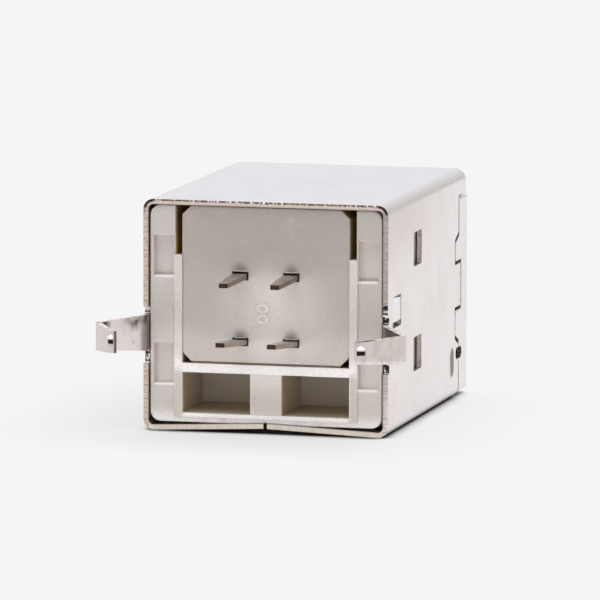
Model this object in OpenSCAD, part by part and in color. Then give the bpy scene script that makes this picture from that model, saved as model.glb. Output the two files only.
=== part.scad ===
// Straight USB type B receptacle for a circuit board, lying on its seam side.
// X runs across the shield, +Y is the way a plug is pulled out, Z is up.
// The origin is where the plug's axis meets the board plane.

/* [Shield] */
// Width across the side walls
shell_w = 12; // [11.6:0.1:13]
// Height from the resting corners to the top panel
shell_h = 11.1; // [10.9:0.02:11.8]
// Length from the rear rim to the front plate
shell_l = 17; // [16:0.1:19]
// Thickness of the sheet
sheet = 0.25; // [0.2:0.01:0.3]
// Outer radius of the folds
fold_r = 0.5; // [0.4:0.02:0.6]
// Rise of each bottom half toward the seam, in degrees
seam_rise = 2.5; // [0:0.25:2.75]
// Open width of the seams between edges of the sheet
seam_gap = 0.17; // [0.08:0.01:0.2]
// Height of the plug axis above the resting corners
axis_h = 5.95; // [5.85:0.01:6.15]

/* [Seam dovetail] */
// Distance of the dovetail's middle from the rear rim
dovetail_y = 8; // [6:0.1:10]
// Length of the dovetail's root along the seam
dovetail_root = 1.6; // [1.2:0.1:2.4]
// Reach of the dovetail across the seam
dovetail_reach = 1.2; // [0.8:0.1:2]
// Widening of each slanted edge of the dovetail
dovetail_flare = 0.3; // [0.1:0.05:0.6]

/* [Board legs] */
// Height of a leg's top edge at its root
leg_top = 5.49; // [5.2:0.01:5.9]
// Drop of the top edge from root to fold
leg_top_drop = 0.09; // [0:0.01:0.2]
// Amount that the left leg sits above the right one
leg_stagger = 0.14; // [0:0.02:0.2]
// Width of a leg at its root
leg_root_w = 1.76; // [1.5:0.02:2.2]
// Width of a leg at its fold
leg_fold_w = 1.35; // [1:0.01:1.6]
// Width of a leg at its tip
leg_tip_w = 1.02; // [0.9:0.02:1.2]
// Reach of the fold outside the side wall
leg_reach = 1.57; // [1:0.01:2]
// Depth of the fold below the board plane
leg_fold_depth = 2.8; // [2.2:0.05:3.4]
// Reach of the toe's bend outside the side wall
leg_toe_reach = 0.3; // [0.1:0.02:0.6]
// Depth of the toe's bend below the board plane
leg_toe_depth = 5.35; // [4.6:0.05:5.6]
// Inset of the tip from the side wall
leg_tip_inset = 0.1; // [0:0.02:0.4]
// Depth of the tip below the board plane
leg_tip_depth = 5.7; // [5.5:0.05:6.6]
// Thickness of the tip, coined on its inner side
leg_tip_t = 0.15; // [0.1:0.01:0.2]
// Depth of the first, gentle part of the root bend
leg_root_bend = 0.35; // [0.2:0.05:0.6]
// Depth of the relief notches beside a leg
notch_depth = 0.3; // [0.2:0.05:0.5]
// Width of the notch above a leg
notch_above = 0.35; // [0.25:0.05:0.5]
// Width of the notch below a leg
notch_below = 0.62; // [0.3:0.02:0.8]
// Corner radius of the notches
notch_r = 0.1; // [0.05:0.01:0.12]
// Length of the lanced bump on a leg's toe
bump_l = 0.46; // [0.36:0.02:0.5]
// Height of the bump along the leg's width
bump_r = 0.25; // [0.18:0.01:0.3]
// Amount that the bump stands out of the toe
bump_h = 0.15; // [0.08:0.01:0.2]
// Distance of the bump's middle from the end of the leg
bump_from_tip = 0.28; // [0.26:0.02:0.32]
// Distance of the bump's lanced edge below the leg's top edge
lance_below_top = 0.41; // [0.36:0.01:0.5]
// Height of the lanced opening below the bump
lance_h = 0.22; // [0.1:0.01:0.3]

/* [Side windows] */
// Height of the latch windows' middle above the resting corners
latch_h = 5.86; // [5.7:0.02:6.1]
// Distance of a latch window from the rear rim
latch_y = 0.97; // [0.8:0.01:1.2]
// Length of a latch window
latch_l = 1.78; // [1.5:0.02:2.1]
// Height of a latch window
latch_win_h = 1.5; // [1.3:0.05:1.7]
// Distance of the plain windows from the rear rim
window_y = 5.25; // [4.5:0.05:6.5]
// Length of a plain window
window_l = 1.7; // [1.4:0.05:2]
// Height of a plain window
window_h = 1.65; // [1.4:0.05:1.9]
// Distance between the middles of the upper and lower windows
window_pitch = 5.08; // [4.6:0.04:5.4]
// Corner radius of the windows
window_r = 0.15; // [0.1:0.01:0.3]

/* [Front plate] */
// Distance of the wings' plain edges from the front
wing_l = 2.25; // [2:0.05:2.6]
// Distance of the wings' hooks from the front
hook_l = 3; // [2.8:0.05:3.4]
// Distance of the side walls' tabs from the front
tab_l = 1.8; // [1.5:0.05:1.9]
// Height of a side wall's tab
tab_h = 2.1; // [1.8:0.05:2.4]
// Height of the upper hook
hook_h = 1.4; // [1.2:0.05:1.6]
// Height of the lower hook
hook_low_h = 1.72; // [1.2:0.02:1.8]
// Slant of a hook's outer edge along its height
hook_slant = 0.3; // [0:0.05:0.4]
// Height of the skirt that the top panel keeps beside the wings
skirt_h = 1.14; // [1:0.02:1.3]
// Distance of the plate's lower edge above the resting corners
plate_lift = 0.3; // [0.2:0.05:0.4]
// Margin of the plate's opening round the plug opening
plate_margin = 0.1; // [0.05:0.01:0.2]
// Height of the staked hole's middle above the resting corners
stake_h = 2.18; // [2:0.02:2.4]
// Length of the staked hole
stake_l = 1.3; // [1.1:0.05:1.6]
// Width of the staked hole
stake_w = 0.56; // [0.4:0.02:0.7]
// Distance of the stake's dent from the front
dent_from_front = 3.65; // [3.4:0.05:4]
// Height of the dent's lower end above the resting corners
dent_low = 1.56; // [1.2:0.02:1.9]
// Radius of the dent's cross-section
dent_r = 1; // [0.6:0.05:1.4]
// Depth of the dent
dent_depth = 0.1; // [0.04:0.01:0.14]

/* [Plug opening] */
// Width of the plug opening
plug_w = 8.45; // [8.4:0.01:8.6]
// Height of the plug opening
plug_h = 7.78; // [7.7:0.01:7.9]
// Bevel of the two upper corners of the opening
plug_bevel = 2; // [1.6:0.05:2.3]

/* [Housing] */
// Gap between the housing and the shield's side walls
fit = 0.08; // [0.05:0.01:0.15]
// Gap between the housing and the shield's top panel
top_fit = 0.04; // [0.02:0.01:0.15]
// Height of the housing's underside above the resting corners
housing_low = 0.43; // [0.4:0.01:0.6]
// Gap between the raised edges of the seam and the housing
seam_clearance = 0.02; // [0.01:0.01:0.1]
// Radius of the housing's long edges
housing_r = 0.5; // [0.35:0.01:0.6]
// Distance of the plastic rear faces inside the rear rim
rear_inset = 0.1; // [0.02:0.01:0.3]
// Thickness of the wall between the insert and the plug opening
partition = 0.8; // [0.6:0.05:1.2]
// Height of the insert channel's floor above the resting corners
channel_floor = 3.27; // [3.1:0.01:3.4]
// Height of the steps where the channel widens
step_h = 8.46; // [8:0.02:9]
// Widening of the channel at each step
step_w = 0.35; // [0.2:0.01:0.5]
// Width of the bright rim beside the channel
rim_w = 0.4; // [0.25:0.01:0.45]
// Amount that the rim stands proud of the rear face
rim_proud = 0.06; // [0.02:0.01:0.09]
// Width of the web between the two rear pockets
web_w = 1.54; // [1:0.02:2.2]
// Height of the pockets' floor above the resting corners
pocket_floor = 0.87; // [0.8:0.01:1.2]
// Thickness of the bridge between the pockets and the channel
bridge = 0.44; // [0.35:0.01:0.6]
// Width of the rim below the pockets
pocket_rim = 0.2; // [0.1:0.01:0.3]
// Depth of the pockets
pocket_depth = 3.8; // [3:0.1:4.2]
// Height of the middle between the recessed panels on a pillar
panel_mid = 5.82; // [5.6:0.02:6]
// Distance between the middles of the recessed panels on a pillar
panel_pitch = 5.18; // [4.8:0.02:5.4]
// Height of a recessed panel
panel_h = 1.94; // [1.6:0.02:2.2]
// Depth of a recessed panel
panel_depth = 0.4; // [0.1:0.05:0.6]
// Width of the pillar's edge outside a recessed panel
panel_edge = 0.14; // [0.1:0.01:0.25]
// Height of a latch barb
barb_h = 1.22; // [1:0.02:1.28]
// Gap between a barb's end and its window
barb_gap = 0.06; // [0.04:0.01:0.2]
// Length of the slope at a barb's end
barb_slope = 0.47; // [0.1:0.01:0.8]
// Fall of the slope at a barb's end
barb_fall = 0.04; // [0.02:0.01:0.2]
// Drop of a barb's top edge toward the front
barb_drop = 0.16; // [0:0.01:0.3]

/* [Insert] */
// Width of the insert
insert_w = 8.2; // [8:0.05:8.4]
// Gap between the insert's block and the channel's floor
insert_gap = 0.11; // [0.04:0.01:0.15]
// Gap between the insert's block and the shield's top panel
insert_top_gap = 0.04; // [0.02:0.01:0.15]
// Length of the insert's block
insert_l = 4.1; // [3.8:0.05:4.6]
// Bevel of the block's long edges
insert_bevel = 0.42; // [0.2:0.02:0.6]
// Width of the tongue
tongue_w = 5.6; // [5.5:0.02:5.8]
// Height of the tongue
tongue_h = 3.18; // [3:0.02:3.4]
// Distance of the tongue's end inside the front plate
tongue_recess = 3; // [2:0.1:4]
// Bevel of the tongue's end
tongue_bevel = 0.5; // [0.2:0.05:0.8]

/* [Contacts] */
// Distance between the two columns of contacts
contact_pitch = 2.5; // [2.3:0.05:2.7]
// Thickness of a contact
contact_t = 0.22; // [0.18:0.01:0.3]
// Width of a contact on the tongue
contact_w = 1; // [0.85:0.05:1.2]
// Amount that a contact stands proud of the tongue
contact_proud = 0.1; // [0.05:0.01:0.15]
// Distance of a contact's end inside the tongue's end
contact_recess = 0.9; // [0.6:0.05:1.5]
// Length of the bevel at a contact's end
contact_nose = 0.5; // [0.3:0.05:0.8]
// Width of a solder pin
pin_w = 0.69; // [0.6:0.01:0.8]
// Width of a solder pin's end
pin_end_w = 0.43; // [0.3:0.01:0.55]
// Length of a pin's taper
pin_taper = 2.2; // [1:0.1:2.6]
// Reach of the upper pins below the board plane
pin_upper_l = 3.1; // [2.8:0.05:4]
// Reach of the lower pins below the board plane
pin_lower_l = 3.72; // [2.8:0.02:4.2]
// Bend of the upper pins' ends toward the plug axis
pin_upper_bend = 0.09; // [0:0.01:0.2]
// Bend of the lower pins' ends toward the plug axis
pin_lower_bend = 0.32; // [0:0.01:0.4]
// Clearance above and below a pin in its slot's mouth
slot_gap = 0.09; // [0.04:0.01:0.2]
// Clearance beside a pin in its slot's mouth
slot_mouth_side = 0.05; // [0.03:0.01:0.2]
// Depth of the slot's wider mouth
slot_mouth = 1.2; // [0.6:0.1:2]
// Clearance beside a contact in its slot and groove
slot_side = 0.03; // [0.01:0.01:0.08]

/* [Hidden] */
$fn = 48;
half_w = shell_w / 2;
inner_half_w = half_w - sheet;
inner_top = shell_h - sheet;
inner_front = shell_l - sheet;
lock_mid = shell_h / 2;
skirt_low = shell_h - skirt_h;
skirt_front = shell_l - fold_r - sheet;
wing_top = skirt_low - seam_gap;
wing_edge = shell_l - wing_l;
hook_edge = shell_l - hook_l;
tab_edge = shell_l - tab_l;
housing_half_w = inner_half_w - fit;
seam_top = fold_r - (fold_r - sheet) / cos(seam_rise) + (half_w - fold_r) * tan(seam_rise);
seam_peak = seam_top + seam_clearance;
housing_top = inner_top - top_fit;
insert_end = rear_inset + insert_l;
plug_back = insert_end + partition;
barb_end = latch_y + latch_l - barb_gap;
pocket_top = channel_floor - bridge;
insert_low = channel_floor + insert_gap;
insert_top = inner_top - insert_top_gap;
tongue_end = shell_l - tongue_recess;
contact_rise = tongue_h / 2 + contact_proud - contact_t / 2;
contact_end = tongue_end - contact_recess;
// Spare length of the cutting shapes past the faces that they cut
over = 1;

// Frames and general shapes

// Lifts shapes that are measured from the resting corners into the part's frame
module from_floor() {
    translate([0, 0, -axis_h]) children();
}

// Draws its children and their mirror image across the shield
module both_sides() {
    children();
    mirror([1, 0, 0]) children();
}

// Extrudes an outline of Y and Z along X
module along_x(from, to) {
    translate([from, 0, 0]) rotate([90, 0, 90]) linear_extrude(to - from) children();
}

// Extrudes an outline of X and Z along Y
module along_y(from, to) {
    translate([0, to, 0]) rotate([90, 0, 0]) linear_extrude(to - from) children();
}

// Extrudes an outline of X and Y along Z
module along_z(from, to) {
    translate([0, 0, from]) linear_extrude(to - from) children();
}

// A rectangle between two corners
module area(low, high) {
    translate(low) square(high - low);
}

// A rectangle between two corners, with its corners rounded
module round_area(low, high, r) {
    area([low.x + r, low.y], [high.x - r, high.y]);
    area([low.x, low.y + r], [high.x, high.y - r]);
    for (x = [low.x + r, high.x - r])
        for (y = [low.y + r, high.y - r])
            translate([x, y]) circle(r);
}

// A slot with round ends, from the middle of one end to the middle of the other
module slot(from, to, w) {
    run = to - from;
    translate(from) rotate(atan2(run.y, run.x)) translate([0, -w / 2]) square([norm(run), w]);
    for (end = [from, to])
        translate(end) circle(w / 2);
}

// A rectangle between two corners, with its high corner rounded
module corner_area(low, high, r) {
    area(low, [high.x - r, high.y]);
    area(low, [high.x, high.y - r]);
    translate([high.x - r, high.y - r]) circle(r);
}

// A rectangle between two corners, with all four corners cut at 45 degrees
module bevel_area(low, high, b) {
    polygon([[low.x + b, low.y], [high.x - b, low.y], [high.x, low.y + b], [high.x, high.y - b],
             [high.x - b, high.y], [low.x + b, high.y], [low.x, high.y - b], [low.x, low.y + b]]);
}

// A band of sheet that follows a line of points, with round bends and a round end
module band(points) {
    for (i = [1:len(points) - 1]) {
        run = points[i] - points[i - 1];
        translate(points[i - 1]) rotate(atan2(run.y, run.x))
            translate([0, -sheet / 2]) square([norm(run), sheet]);
        translate(points[i]) circle(sheet / 2);
    }
}

// The plug opening's outline, widened by a margin
module plug_outline(margin) {
    w = plug_w / 2 + margin;
    low = axis_h - plug_h / 2 - margin;
    high = axis_h + plug_h / 2 + margin;
    polygon([[-w, low], [w, low], [w, high - plug_bevel], [w - plug_bevel, high],
             [plug_bevel - w, high], [-w, high - plug_bevel]]);
}

// Shield

// The fold at a lower corner, from the side wall to the tilted bottom half
module corner_fold() {
    for (turn = [0, seam_rise])
        rotate(-90 - turn) intersection() {
            difference() {
                circle(fold_r);
                circle(fold_r - sheet);
            }
            square(fold_r);
        }
}

// The wrap's outline: the top panel, two side walls and two bottom halves that meet at the seam
module wrap_outline() {
    difference() {
        round_area([-half_w, 0], [half_w, shell_h], fold_r);
        round_area([-inner_half_w, sheet], [inner_half_w, inner_top], fold_r - sheet);
        area([-half_w - over, -over], [half_w + over, fold_r]);
    }
    for (side = [0, 1])
        mirror([side, 0]) {
            translate([half_w - fold_r, fold_r]) corner_fold();
            intersection() {
                translate([half_w - fold_r, fold_r]) rotate(-seam_rise)
                    area([-half_w, -fold_r], [0, sheet - fold_r]);
                area([0, -over], [half_w, shell_h / 2]);
            }
        }
}

// The seam's cut: a straight gap with one dovetail
module seam_cut() {
    near = dovetail_y - dovetail_root / 2;
    far = dovetail_y + dovetail_root / 2;
    area([-seam_gap / 2, -over], [seam_gap / 2, near]);
    area([-seam_gap / 2, far], [seam_gap / 2, shell_l]);
    difference() {
        dovetail(seam_gap);
        dovetail(0);
        area([seam_gap / 2, 0], [half_w, shell_l]);
    }
}

// The dovetail's outline, widened by a margin
module dovetail(margin) {
    near = dovetail_y - dovetail_root / 2 - margin;
    far = dovetail_y + dovetail_root / 2 + margin;
    tip = -dovetail_reach - margin;
    polygon([[seam_gap, near], [0, near], [tip, near - dovetail_flare], [tip, far + dovetail_flare],
             [0, far], [seam_gap, far]]);
}

// The stepped edge of side wall and wing on one side of the middle, for a hook of some height
function half_lock(gap, h) = [
    [tab_edge + gap, tab_h / 2 + gap],
    [hook_edge + gap, tab_h / 2 + gap],
    [hook_edge + gap, tab_h / 2 + h - hook_slant / 2 - gap],
    [wing_edge + gap, tab_h / 2 + h + hook_slant / 2 - gap]
];

// The whole stepped edge, from its lower end to its upper end, set back by a gap
function lock_line(gap) = concat(
    [for (i = [3:-1:0]) [half_lock(gap, hook_low_h)[i].x, lock_mid - half_lock(gap, hook_low_h)[i].y]],
    [for (p = half_lock(gap, hook_h)) [p.x, lock_mid + p.y]]
);

// All that lies in front of the stepped edge, between two heights
module lock_area(gap, low, high) {
    polygon(concat([[wing_edge + gap, low]], lock_line(gap),
                   [[wing_edge + gap, high], [shell_l + over, high], [shell_l + over, low]]));
}

// The folded wrap: one turn of sheet with its stepped front edge and its seam
module wrap() {
    difference() {
        along_y(0, skirt_front) wrap_outline();
        both_sides() along_x(half_w - fold_r - seam_gap, half_w + over) lock_area(0, -over, skirt_low);
        along_z(-over, shell_h / 2) seam_cut();
    }
}

// The front plate's fold from the top panel, seen from the side
module front_fold_outline() {
    intersection() {
        difference() {
            corner_area([0, 0], [shell_l, shell_h], fold_r);
            corner_area([0, 0], [inner_front, inner_top], fold_r - sheet);
        }
        area([wing_edge, wing_top - fold_r], [shell_l, shell_h]);
    }
}

// The front plate and the beginnings of its wings, seen from above
module plate_outline() {
    difference() {
        for (side = [0, 1])
            mirror([side, 0]) corner_area([0, 0], [half_w, shell_l], fold_r);
        for (side = [0, 1])
            mirror([side, 0]) corner_area([0, -over], [inner_half_w, inner_front], fold_r - sheet);
    }
}

// The front plate, folded down from the top panel, with the wings folded back beside it
module front_plate() {
    difference() {
        union() {
            intersection() {
                along_z(plate_lift, wing_top) plate_outline();
                along_x(-half_w, half_w) lock_area(seam_gap, plate_lift, wing_top);
            }
            along_x(fold_r - half_w, half_w - fold_r) front_fold_outline();
        }
        along_y(shell_l - over, shell_l + over) plug_outline(plate_margin);
    }
}

// The line that a leg's sheet follows to its toe, seen from above: its root bends in two equal turns
function leg_line() = [
    [half_w - sheet / 2, notch_depth],
    [half_w - sheet / 2, 0],
    [half_w - sheet / 2 + leg_root_bend * tan(atan2(leg_reach, leg_fold_depth) / 2), -leg_root_bend],
    [half_w - sheet / 2 + leg_reach, -leg_fold_depth],
    [half_w - sheet / 2 + leg_toe_reach, -leg_toe_depth]
];

// The height of a leg's top edge at a depth below the board plane
function leg_top_at(depth) = leg_top - leg_top_drop * min(depth / leg_fold_depth, 1);

// The run of a leg's toe, seen from above
function toe_run() = [-leg_tip_inset - leg_toe_reach, leg_toe_depth - leg_tip_depth];

// Moves shapes from the toe's own frame, whose X ends at the tip and whose Y points out of the leg
module toe_place() {
    translate([half_w - sheet / 2 - leg_tip_inset, -leg_tip_depth, 0])
        rotate(atan2(toe_run().y, toe_run().x)) children();
}

// The toe's outline, which thins to its tip on the inner side
module toe_outline() {
    polygon([[-norm(toe_run()), -sheet / 2], [0, sheet / 2 - leg_tip_t], [0, sheet / 2],
             [-norm(toe_run()), sheet / 2]]);
}

// A leg's edges, seen from the side
module leg_outline() {
    root = [notch_depth, leg_top];
    fold_top = [-leg_fold_depth, leg_top_at(leg_fold_depth)];
    tip_top = [-leg_tip_depth - sheet, leg_top_at(leg_tip_depth)];
    polygon([root, [0, leg_top], fold_top, tip_top, tip_top - [0, leg_tip_w],
             fold_top - [0, leg_fold_w], [0, leg_top - leg_root_w], root - [0, leg_root_w]]);
}

// The bump on the outer face of a leg's toe, cut off at its lanced edge
module leg_bump() {
    straight = bump_l - 2 * bump_r * sin(acos(1 - bump_h / bump_r));
    intersection() {
        translate([-bump_from_tip, sheet / 2 + bump_h - bump_r, 0]) rotate([0, 90, 0]) {
            cylinder(h = straight, r = bump_r, center = true);
            for (end = [-1, 1])
                translate([0, 0, end * straight / 2]) sphere(bump_r);
        }
        along_z(0, bump_l) area([-bump_l - bump_from_tip, 0], [0, bump_l]);
    }
}

// The opening that the lanced bump leaves below it
module lance_cut() {
    along_z(-lance_h, 0)
        area([-bump_from_tip - bump_l / 2, -sheet], [bump_l / 2 - bump_from_tip, sheet]);
}

// One kinked leg on the right side wall
module leg() {
    lance_top = leg_top_at(leg_tip_depth) - lance_below_top;
    difference() {
        intersection() {
            along_z(0, shell_h) {
                band(leg_line());
                toe_place() toe_outline();
            }
            along_x(0, shell_w) leg_outline();
        }
        translate([0, 0, lance_top]) toe_place() lance_cut();
    }
    translate([0, 0, lance_top]) toe_place() leg_bump();
}

// Sets a leg or its notches on both side walls, the left ones higher
module leg_places() {
    for (side = [-1, 1])
        mirror([side < 0 ? 1 : 0, 0, 0]) translate([0, 0, -side * leg_stagger / 2]) children();
}

// The two relief notches beside a leg's root
module leg_notches() {
    low = leg_top - leg_root_w;
    along_x(half_w - fold_r, half_w + over) {
        round_area([-over, leg_top], [notch_depth, leg_top + notch_above], notch_r);
        round_area([-over, low - notch_below], [notch_depth, low], notch_r);
    }
}

// The outline of a latch window, which its barb fills at the rear and the top
module latch_outline() {
    low = latch_h - latch_win_h / 2;
    round_area([latch_y, low], [latch_y + latch_l, low + latch_win_h], window_r);
}

// The windows of one side wall
module side_windows() {
    along_x(half_w - fold_r, half_w + over) {
        latch_outline();
        for (side = [-1, 1]) {
            low = latch_h + side * window_pitch / 2 - window_h / 2;
            round_area([window_y, low], [window_y + window_l, low + window_h], window_r);
        }
    }
}

// The hole where a wing is staked to the side wall, and the dent beside it
module stake_cut() {
    reach = [(stake_l - stake_w) / 2, 0];
    hole = [wing_edge + seam_gap / 2, stake_h];
    along_x(half_w - fold_r, half_w + over)
        slot(hole - reach, hole + reach, stake_w);
    translate([half_w + dent_r - dent_depth, shell_l - dent_from_front, 0]) {
        along_z(dent_low, stake_h) circle(dent_r);
        for (z = [dent_low, stake_h])
            translate([0, 0, z]) sphere(dent_r);
    }
}

module shield() {
    color("silver") from_floor() difference() {
        union() {
            wrap();
            front_plate();
            leg_places() leg();
        }
        leg_places() leg_notches();
        both_sides() {
            side_windows();
            stake_cut();
        }
    }
}

// Housing

// The housing's outer form, bevelled at its front edges to clear the shield's folds
module housing_block() {
    intersection() {
        along_y(rear_inset, inner_front)
            round_area([-housing_half_w, housing_low], [housing_half_w, housing_top], housing_r);
        along_x(-half_w, half_w) bevel_area([-fold_r, housing_low], [inner_front, housing_top], fold_r);
        along_z(0, shell_h) bevel_area([-housing_half_w, -fold_r], [housing_half_w, inner_front], fold_r);
    }
}

// The proud rim round the channel and the pockets
module rim() {
    half = insert_w / 2;
    along_y(rear_inset - rim_proud, insert_end) difference() {
        area([-half - rim_w, pocket_floor - pocket_rim], [half + rim_w, step_h]);
        area([-half, channel_floor], [half, step_h + over]);
        area([-half, pocket_floor], [half, pocket_top]);
    }
}

// One latch barb on the right side, with its slope and its lower top edge toward the front
module barb() {
    low = latch_h + latch_win_h / 2 - barb_h;
    root = housing_half_w - fit;
    intersection() {
        along_z(low, low + barb_h)
            polygon([[root, latch_y], [half_w, latch_y], [half_w, barb_end - barb_slope],
                     [half_w - barb_fall, barb_end], [root, barb_end]]);
        along_x(0, half_w) latch_outline();
        along_x(0, half_w)
            polygon([[latch_y, low], [barb_end, low], [barb_end, low + barb_h - barb_drop],
                     [latch_y, low + barb_h]]);
    }
}

// The shallow relief in the housing's underside that clears the raised edges of the seam
module seam_relief() {
    side = seam_peak - half_w * tan(seam_rise);
    along_y(-over, shell_l)
        polygon([[-half_w, -over], [half_w, -over], [half_w, side], [0, seam_peak], [-half_w, side]]);
}

// The channel that the insert slides into, open at the rear and the top
module channel() {
    along_y(-over, insert_end) {
        area([-insert_w / 2, channel_floor], [insert_w / 2, shell_h]);
        area([-insert_w / 2 - step_w, step_h], [insert_w / 2 + step_w, shell_h]);
    }
}

// The two blind pockets below the channel
module pockets() {
    along_y(-over, rear_inset + pocket_depth)
        for (side = [0, 1])
            mirror([side, 0]) area([web_w / 2, pocket_floor], [insert_w / 2, pocket_top]);
}

// The recessed panels on the rear faces of the two pillars
module pillar_panels() {
    along_y(-over, rear_inset + panel_depth)
        for (side = [0, 1], level = [-1, 1]) {
            low = panel_mid + level * panel_pitch / 2 - panel_h / 2;
            mirror([side, 0])
                area([insert_w / 2 + rim_w, low], [housing_half_w - panel_edge, low + panel_h]);
        }
}

// The passage of the tongue and its contacts through the partition
module tongue_passage() {
    reach = tongue_h / 2 + contact_proud + fit;
    along_y(insert_end - over, plug_back + over)
        area([-tongue_w / 2 - fit, axis_h - reach], [tongue_w / 2 + fit, axis_h + reach]);
}

module housing() {
    color("gainsboro") from_floor() difference() {
        union() {
            housing_block();
            rim();
            both_sides() barb();
        }
        seam_relief();
        channel();
        pockets();
        pillar_panels();
        tongue_passage();
        along_y(plug_back, shell_l) plug_outline(0);
    }
}

// Insert

// The tongue, bevelled at its end
module tongue() {
    low = axis_h - tongue_h / 2;
    intersection() {
        along_x(-tongue_w / 2, tongue_w / 2)
            bevel_area([0, low], [tongue_end, low + tongue_h], tongue_bevel);
        along_z(low, low + tongue_h)
            bevel_area([-tongue_w / 2, 0], [tongue_w / 2, tongue_end], tongue_bevel);
        along_y(insert_end - over, tongue_end) area([-tongue_w, 0], [tongue_w, shell_h]);
    }
}

// The way of one contact through the block and along the tongue, in the contact's own place
module contact_way() {
    pin_half = pin_w / 2;
    mouth_half = pin_half + slot_mouth_side;
    blade_half = contact_w / 2 + slot_side;
    along_y(-over, insert_end)
        area([-pin_half - slot_side, -contact_t / 2], [pin_half + slot_side, contact_t / 2]);
    along_y(-over, rear_inset + slot_mouth)
        area([-mouth_half, -contact_t / 2 - slot_gap], [mouth_half, contact_t / 2 + slot_gap]);
    along_y(insert_end, contact_end + slot_side)
        area([-blade_half, -contact_t / 2], [blade_half, contact_t]);
}

module insert() {
    color("lightgray") from_floor() difference() {
        union() {
            along_y(rear_inset, insert_end)
                bevel_area([-insert_w / 2, insert_low], [insert_w / 2, insert_top], insert_bevel);
            tongue();
        }
        for (side = [-1, 1], level = [-1, 1])
            contact_place(side, level) contact_way();
    }
}

// Contacts

// Moves a contact to its column and row, turned over in the lower row
module contact_place(side, level) {
    translate([side * contact_pitch / 2, 0, axis_h + level * contact_rise])
        mirror([0, 0, level < 0 ? 1 : 0]) children();
}

// One contact: a blade on the tongue that narrows to a tapered, bent solder pin
module contact(pin_l, pin_bend) {
    blade = contact_w / 2;
    pin = pin_w / 2;
    pin_end = pin_end_w / 2;
    taper = pin_taper - pin_l;
    half_t = contact_t / 2;
    intersection() {
        along_z(-contact_t - pin_bend, contact_t)
            polygon([[blade, contact_end], [blade, insert_end], [pin, insert_end], [pin, taper],
                     [pin_end, -pin_l], [-pin_end, -pin_l], [-pin, taper], [-pin, insert_end],
                     [-blade, insert_end], [-blade, contact_end]]);
        along_x(-contact_w, contact_w)
            polygon([[contact_end, -half_t], [contact_end, 0], [contact_end - contact_nose, half_t],
                     [0, half_t], [-pin_l, half_t - pin_bend], [-pin_l, -half_t - pin_bend], [0, -half_t]]);
    }
}

module upper_contact(side) {
    color("dimgray") from_floor() contact_place(side, 1) contact(pin_upper_l, pin_upper_bend);
}

module lower_contact(side) {
    color("dimgray") from_floor() contact_place(side, -1) contact(pin_lower_l, pin_lower_bend);
}

module contact_vbus() {
    upper_contact(-1);
}

module contact_data_minus() {
    upper_contact(1);
}

module contact_data_plus() {
    lower_contact(1);
}

module contact_ground() {
    lower_contact(-1);
}

shield();
housing();
insert();
contact_vbus();
contact_data_minus();
contact_data_plus();
contact_ground();
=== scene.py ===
"""Looks of a straight USB type B board socket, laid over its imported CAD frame."""

import logging
import math
from dataclasses import dataclass
from enum import Enum
from typing import Any

import bmesh
import bpy
from mathutils import Euler, Matrix, Vector, noise


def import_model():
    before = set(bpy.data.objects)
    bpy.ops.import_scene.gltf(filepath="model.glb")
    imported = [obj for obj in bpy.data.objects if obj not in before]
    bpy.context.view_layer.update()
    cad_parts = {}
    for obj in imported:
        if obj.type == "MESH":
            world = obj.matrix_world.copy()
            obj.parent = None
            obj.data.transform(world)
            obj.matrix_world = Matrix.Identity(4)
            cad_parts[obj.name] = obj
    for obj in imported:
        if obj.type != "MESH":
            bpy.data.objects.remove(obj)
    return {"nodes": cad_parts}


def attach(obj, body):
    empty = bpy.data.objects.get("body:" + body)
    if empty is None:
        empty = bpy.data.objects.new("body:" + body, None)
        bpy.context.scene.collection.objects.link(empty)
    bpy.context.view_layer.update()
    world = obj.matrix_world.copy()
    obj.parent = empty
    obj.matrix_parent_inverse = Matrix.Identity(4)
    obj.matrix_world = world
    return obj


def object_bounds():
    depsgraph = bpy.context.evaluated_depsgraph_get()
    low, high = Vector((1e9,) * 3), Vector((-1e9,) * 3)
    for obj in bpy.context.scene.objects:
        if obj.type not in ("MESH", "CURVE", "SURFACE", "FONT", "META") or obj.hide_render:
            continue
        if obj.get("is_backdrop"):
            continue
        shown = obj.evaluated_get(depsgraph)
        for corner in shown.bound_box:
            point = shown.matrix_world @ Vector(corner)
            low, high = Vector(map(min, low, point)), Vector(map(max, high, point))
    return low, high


LOG = logging.getLogger("usb_b_socket")
MM = 0.001
SHARP = math.radians(40)
WELD_MM = 0.0005
EDGE_SAMPLES = 6
SMOOTH = {"interpolation_type": "SMOOTHSTEP"}

Colour = tuple[float, float, float, float]
Triple = tuple[float, float, float]
# The two ends of a range. A share that is worked out from it is none at the first and full at the second.
Span = tuple[float, float]
Inputs = dict[str | int | tuple[int, int], Any]
Node = bpy.types.Node
Socket = bpy.types.NodeSocket


def linear(hex_code: str) -> Colour:
    """Turns an sRGB hex colour into linear light.

    Args:
        hex_code: Six hex digits, such as "d8d5d1".

    Returns:
        Linear red, green and blue, with an alpha of 1.
    """
    parts = [int(hex_code[i:i + 2], 16) / 255 for i in (0, 2, 4)]
    red, green, blue = [p / 12.92 if p <= 0.04045 else ((p + 0.055) / 1.055) ** 2.4 for p in parts]
    return red, green, blue, 1.0


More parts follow.
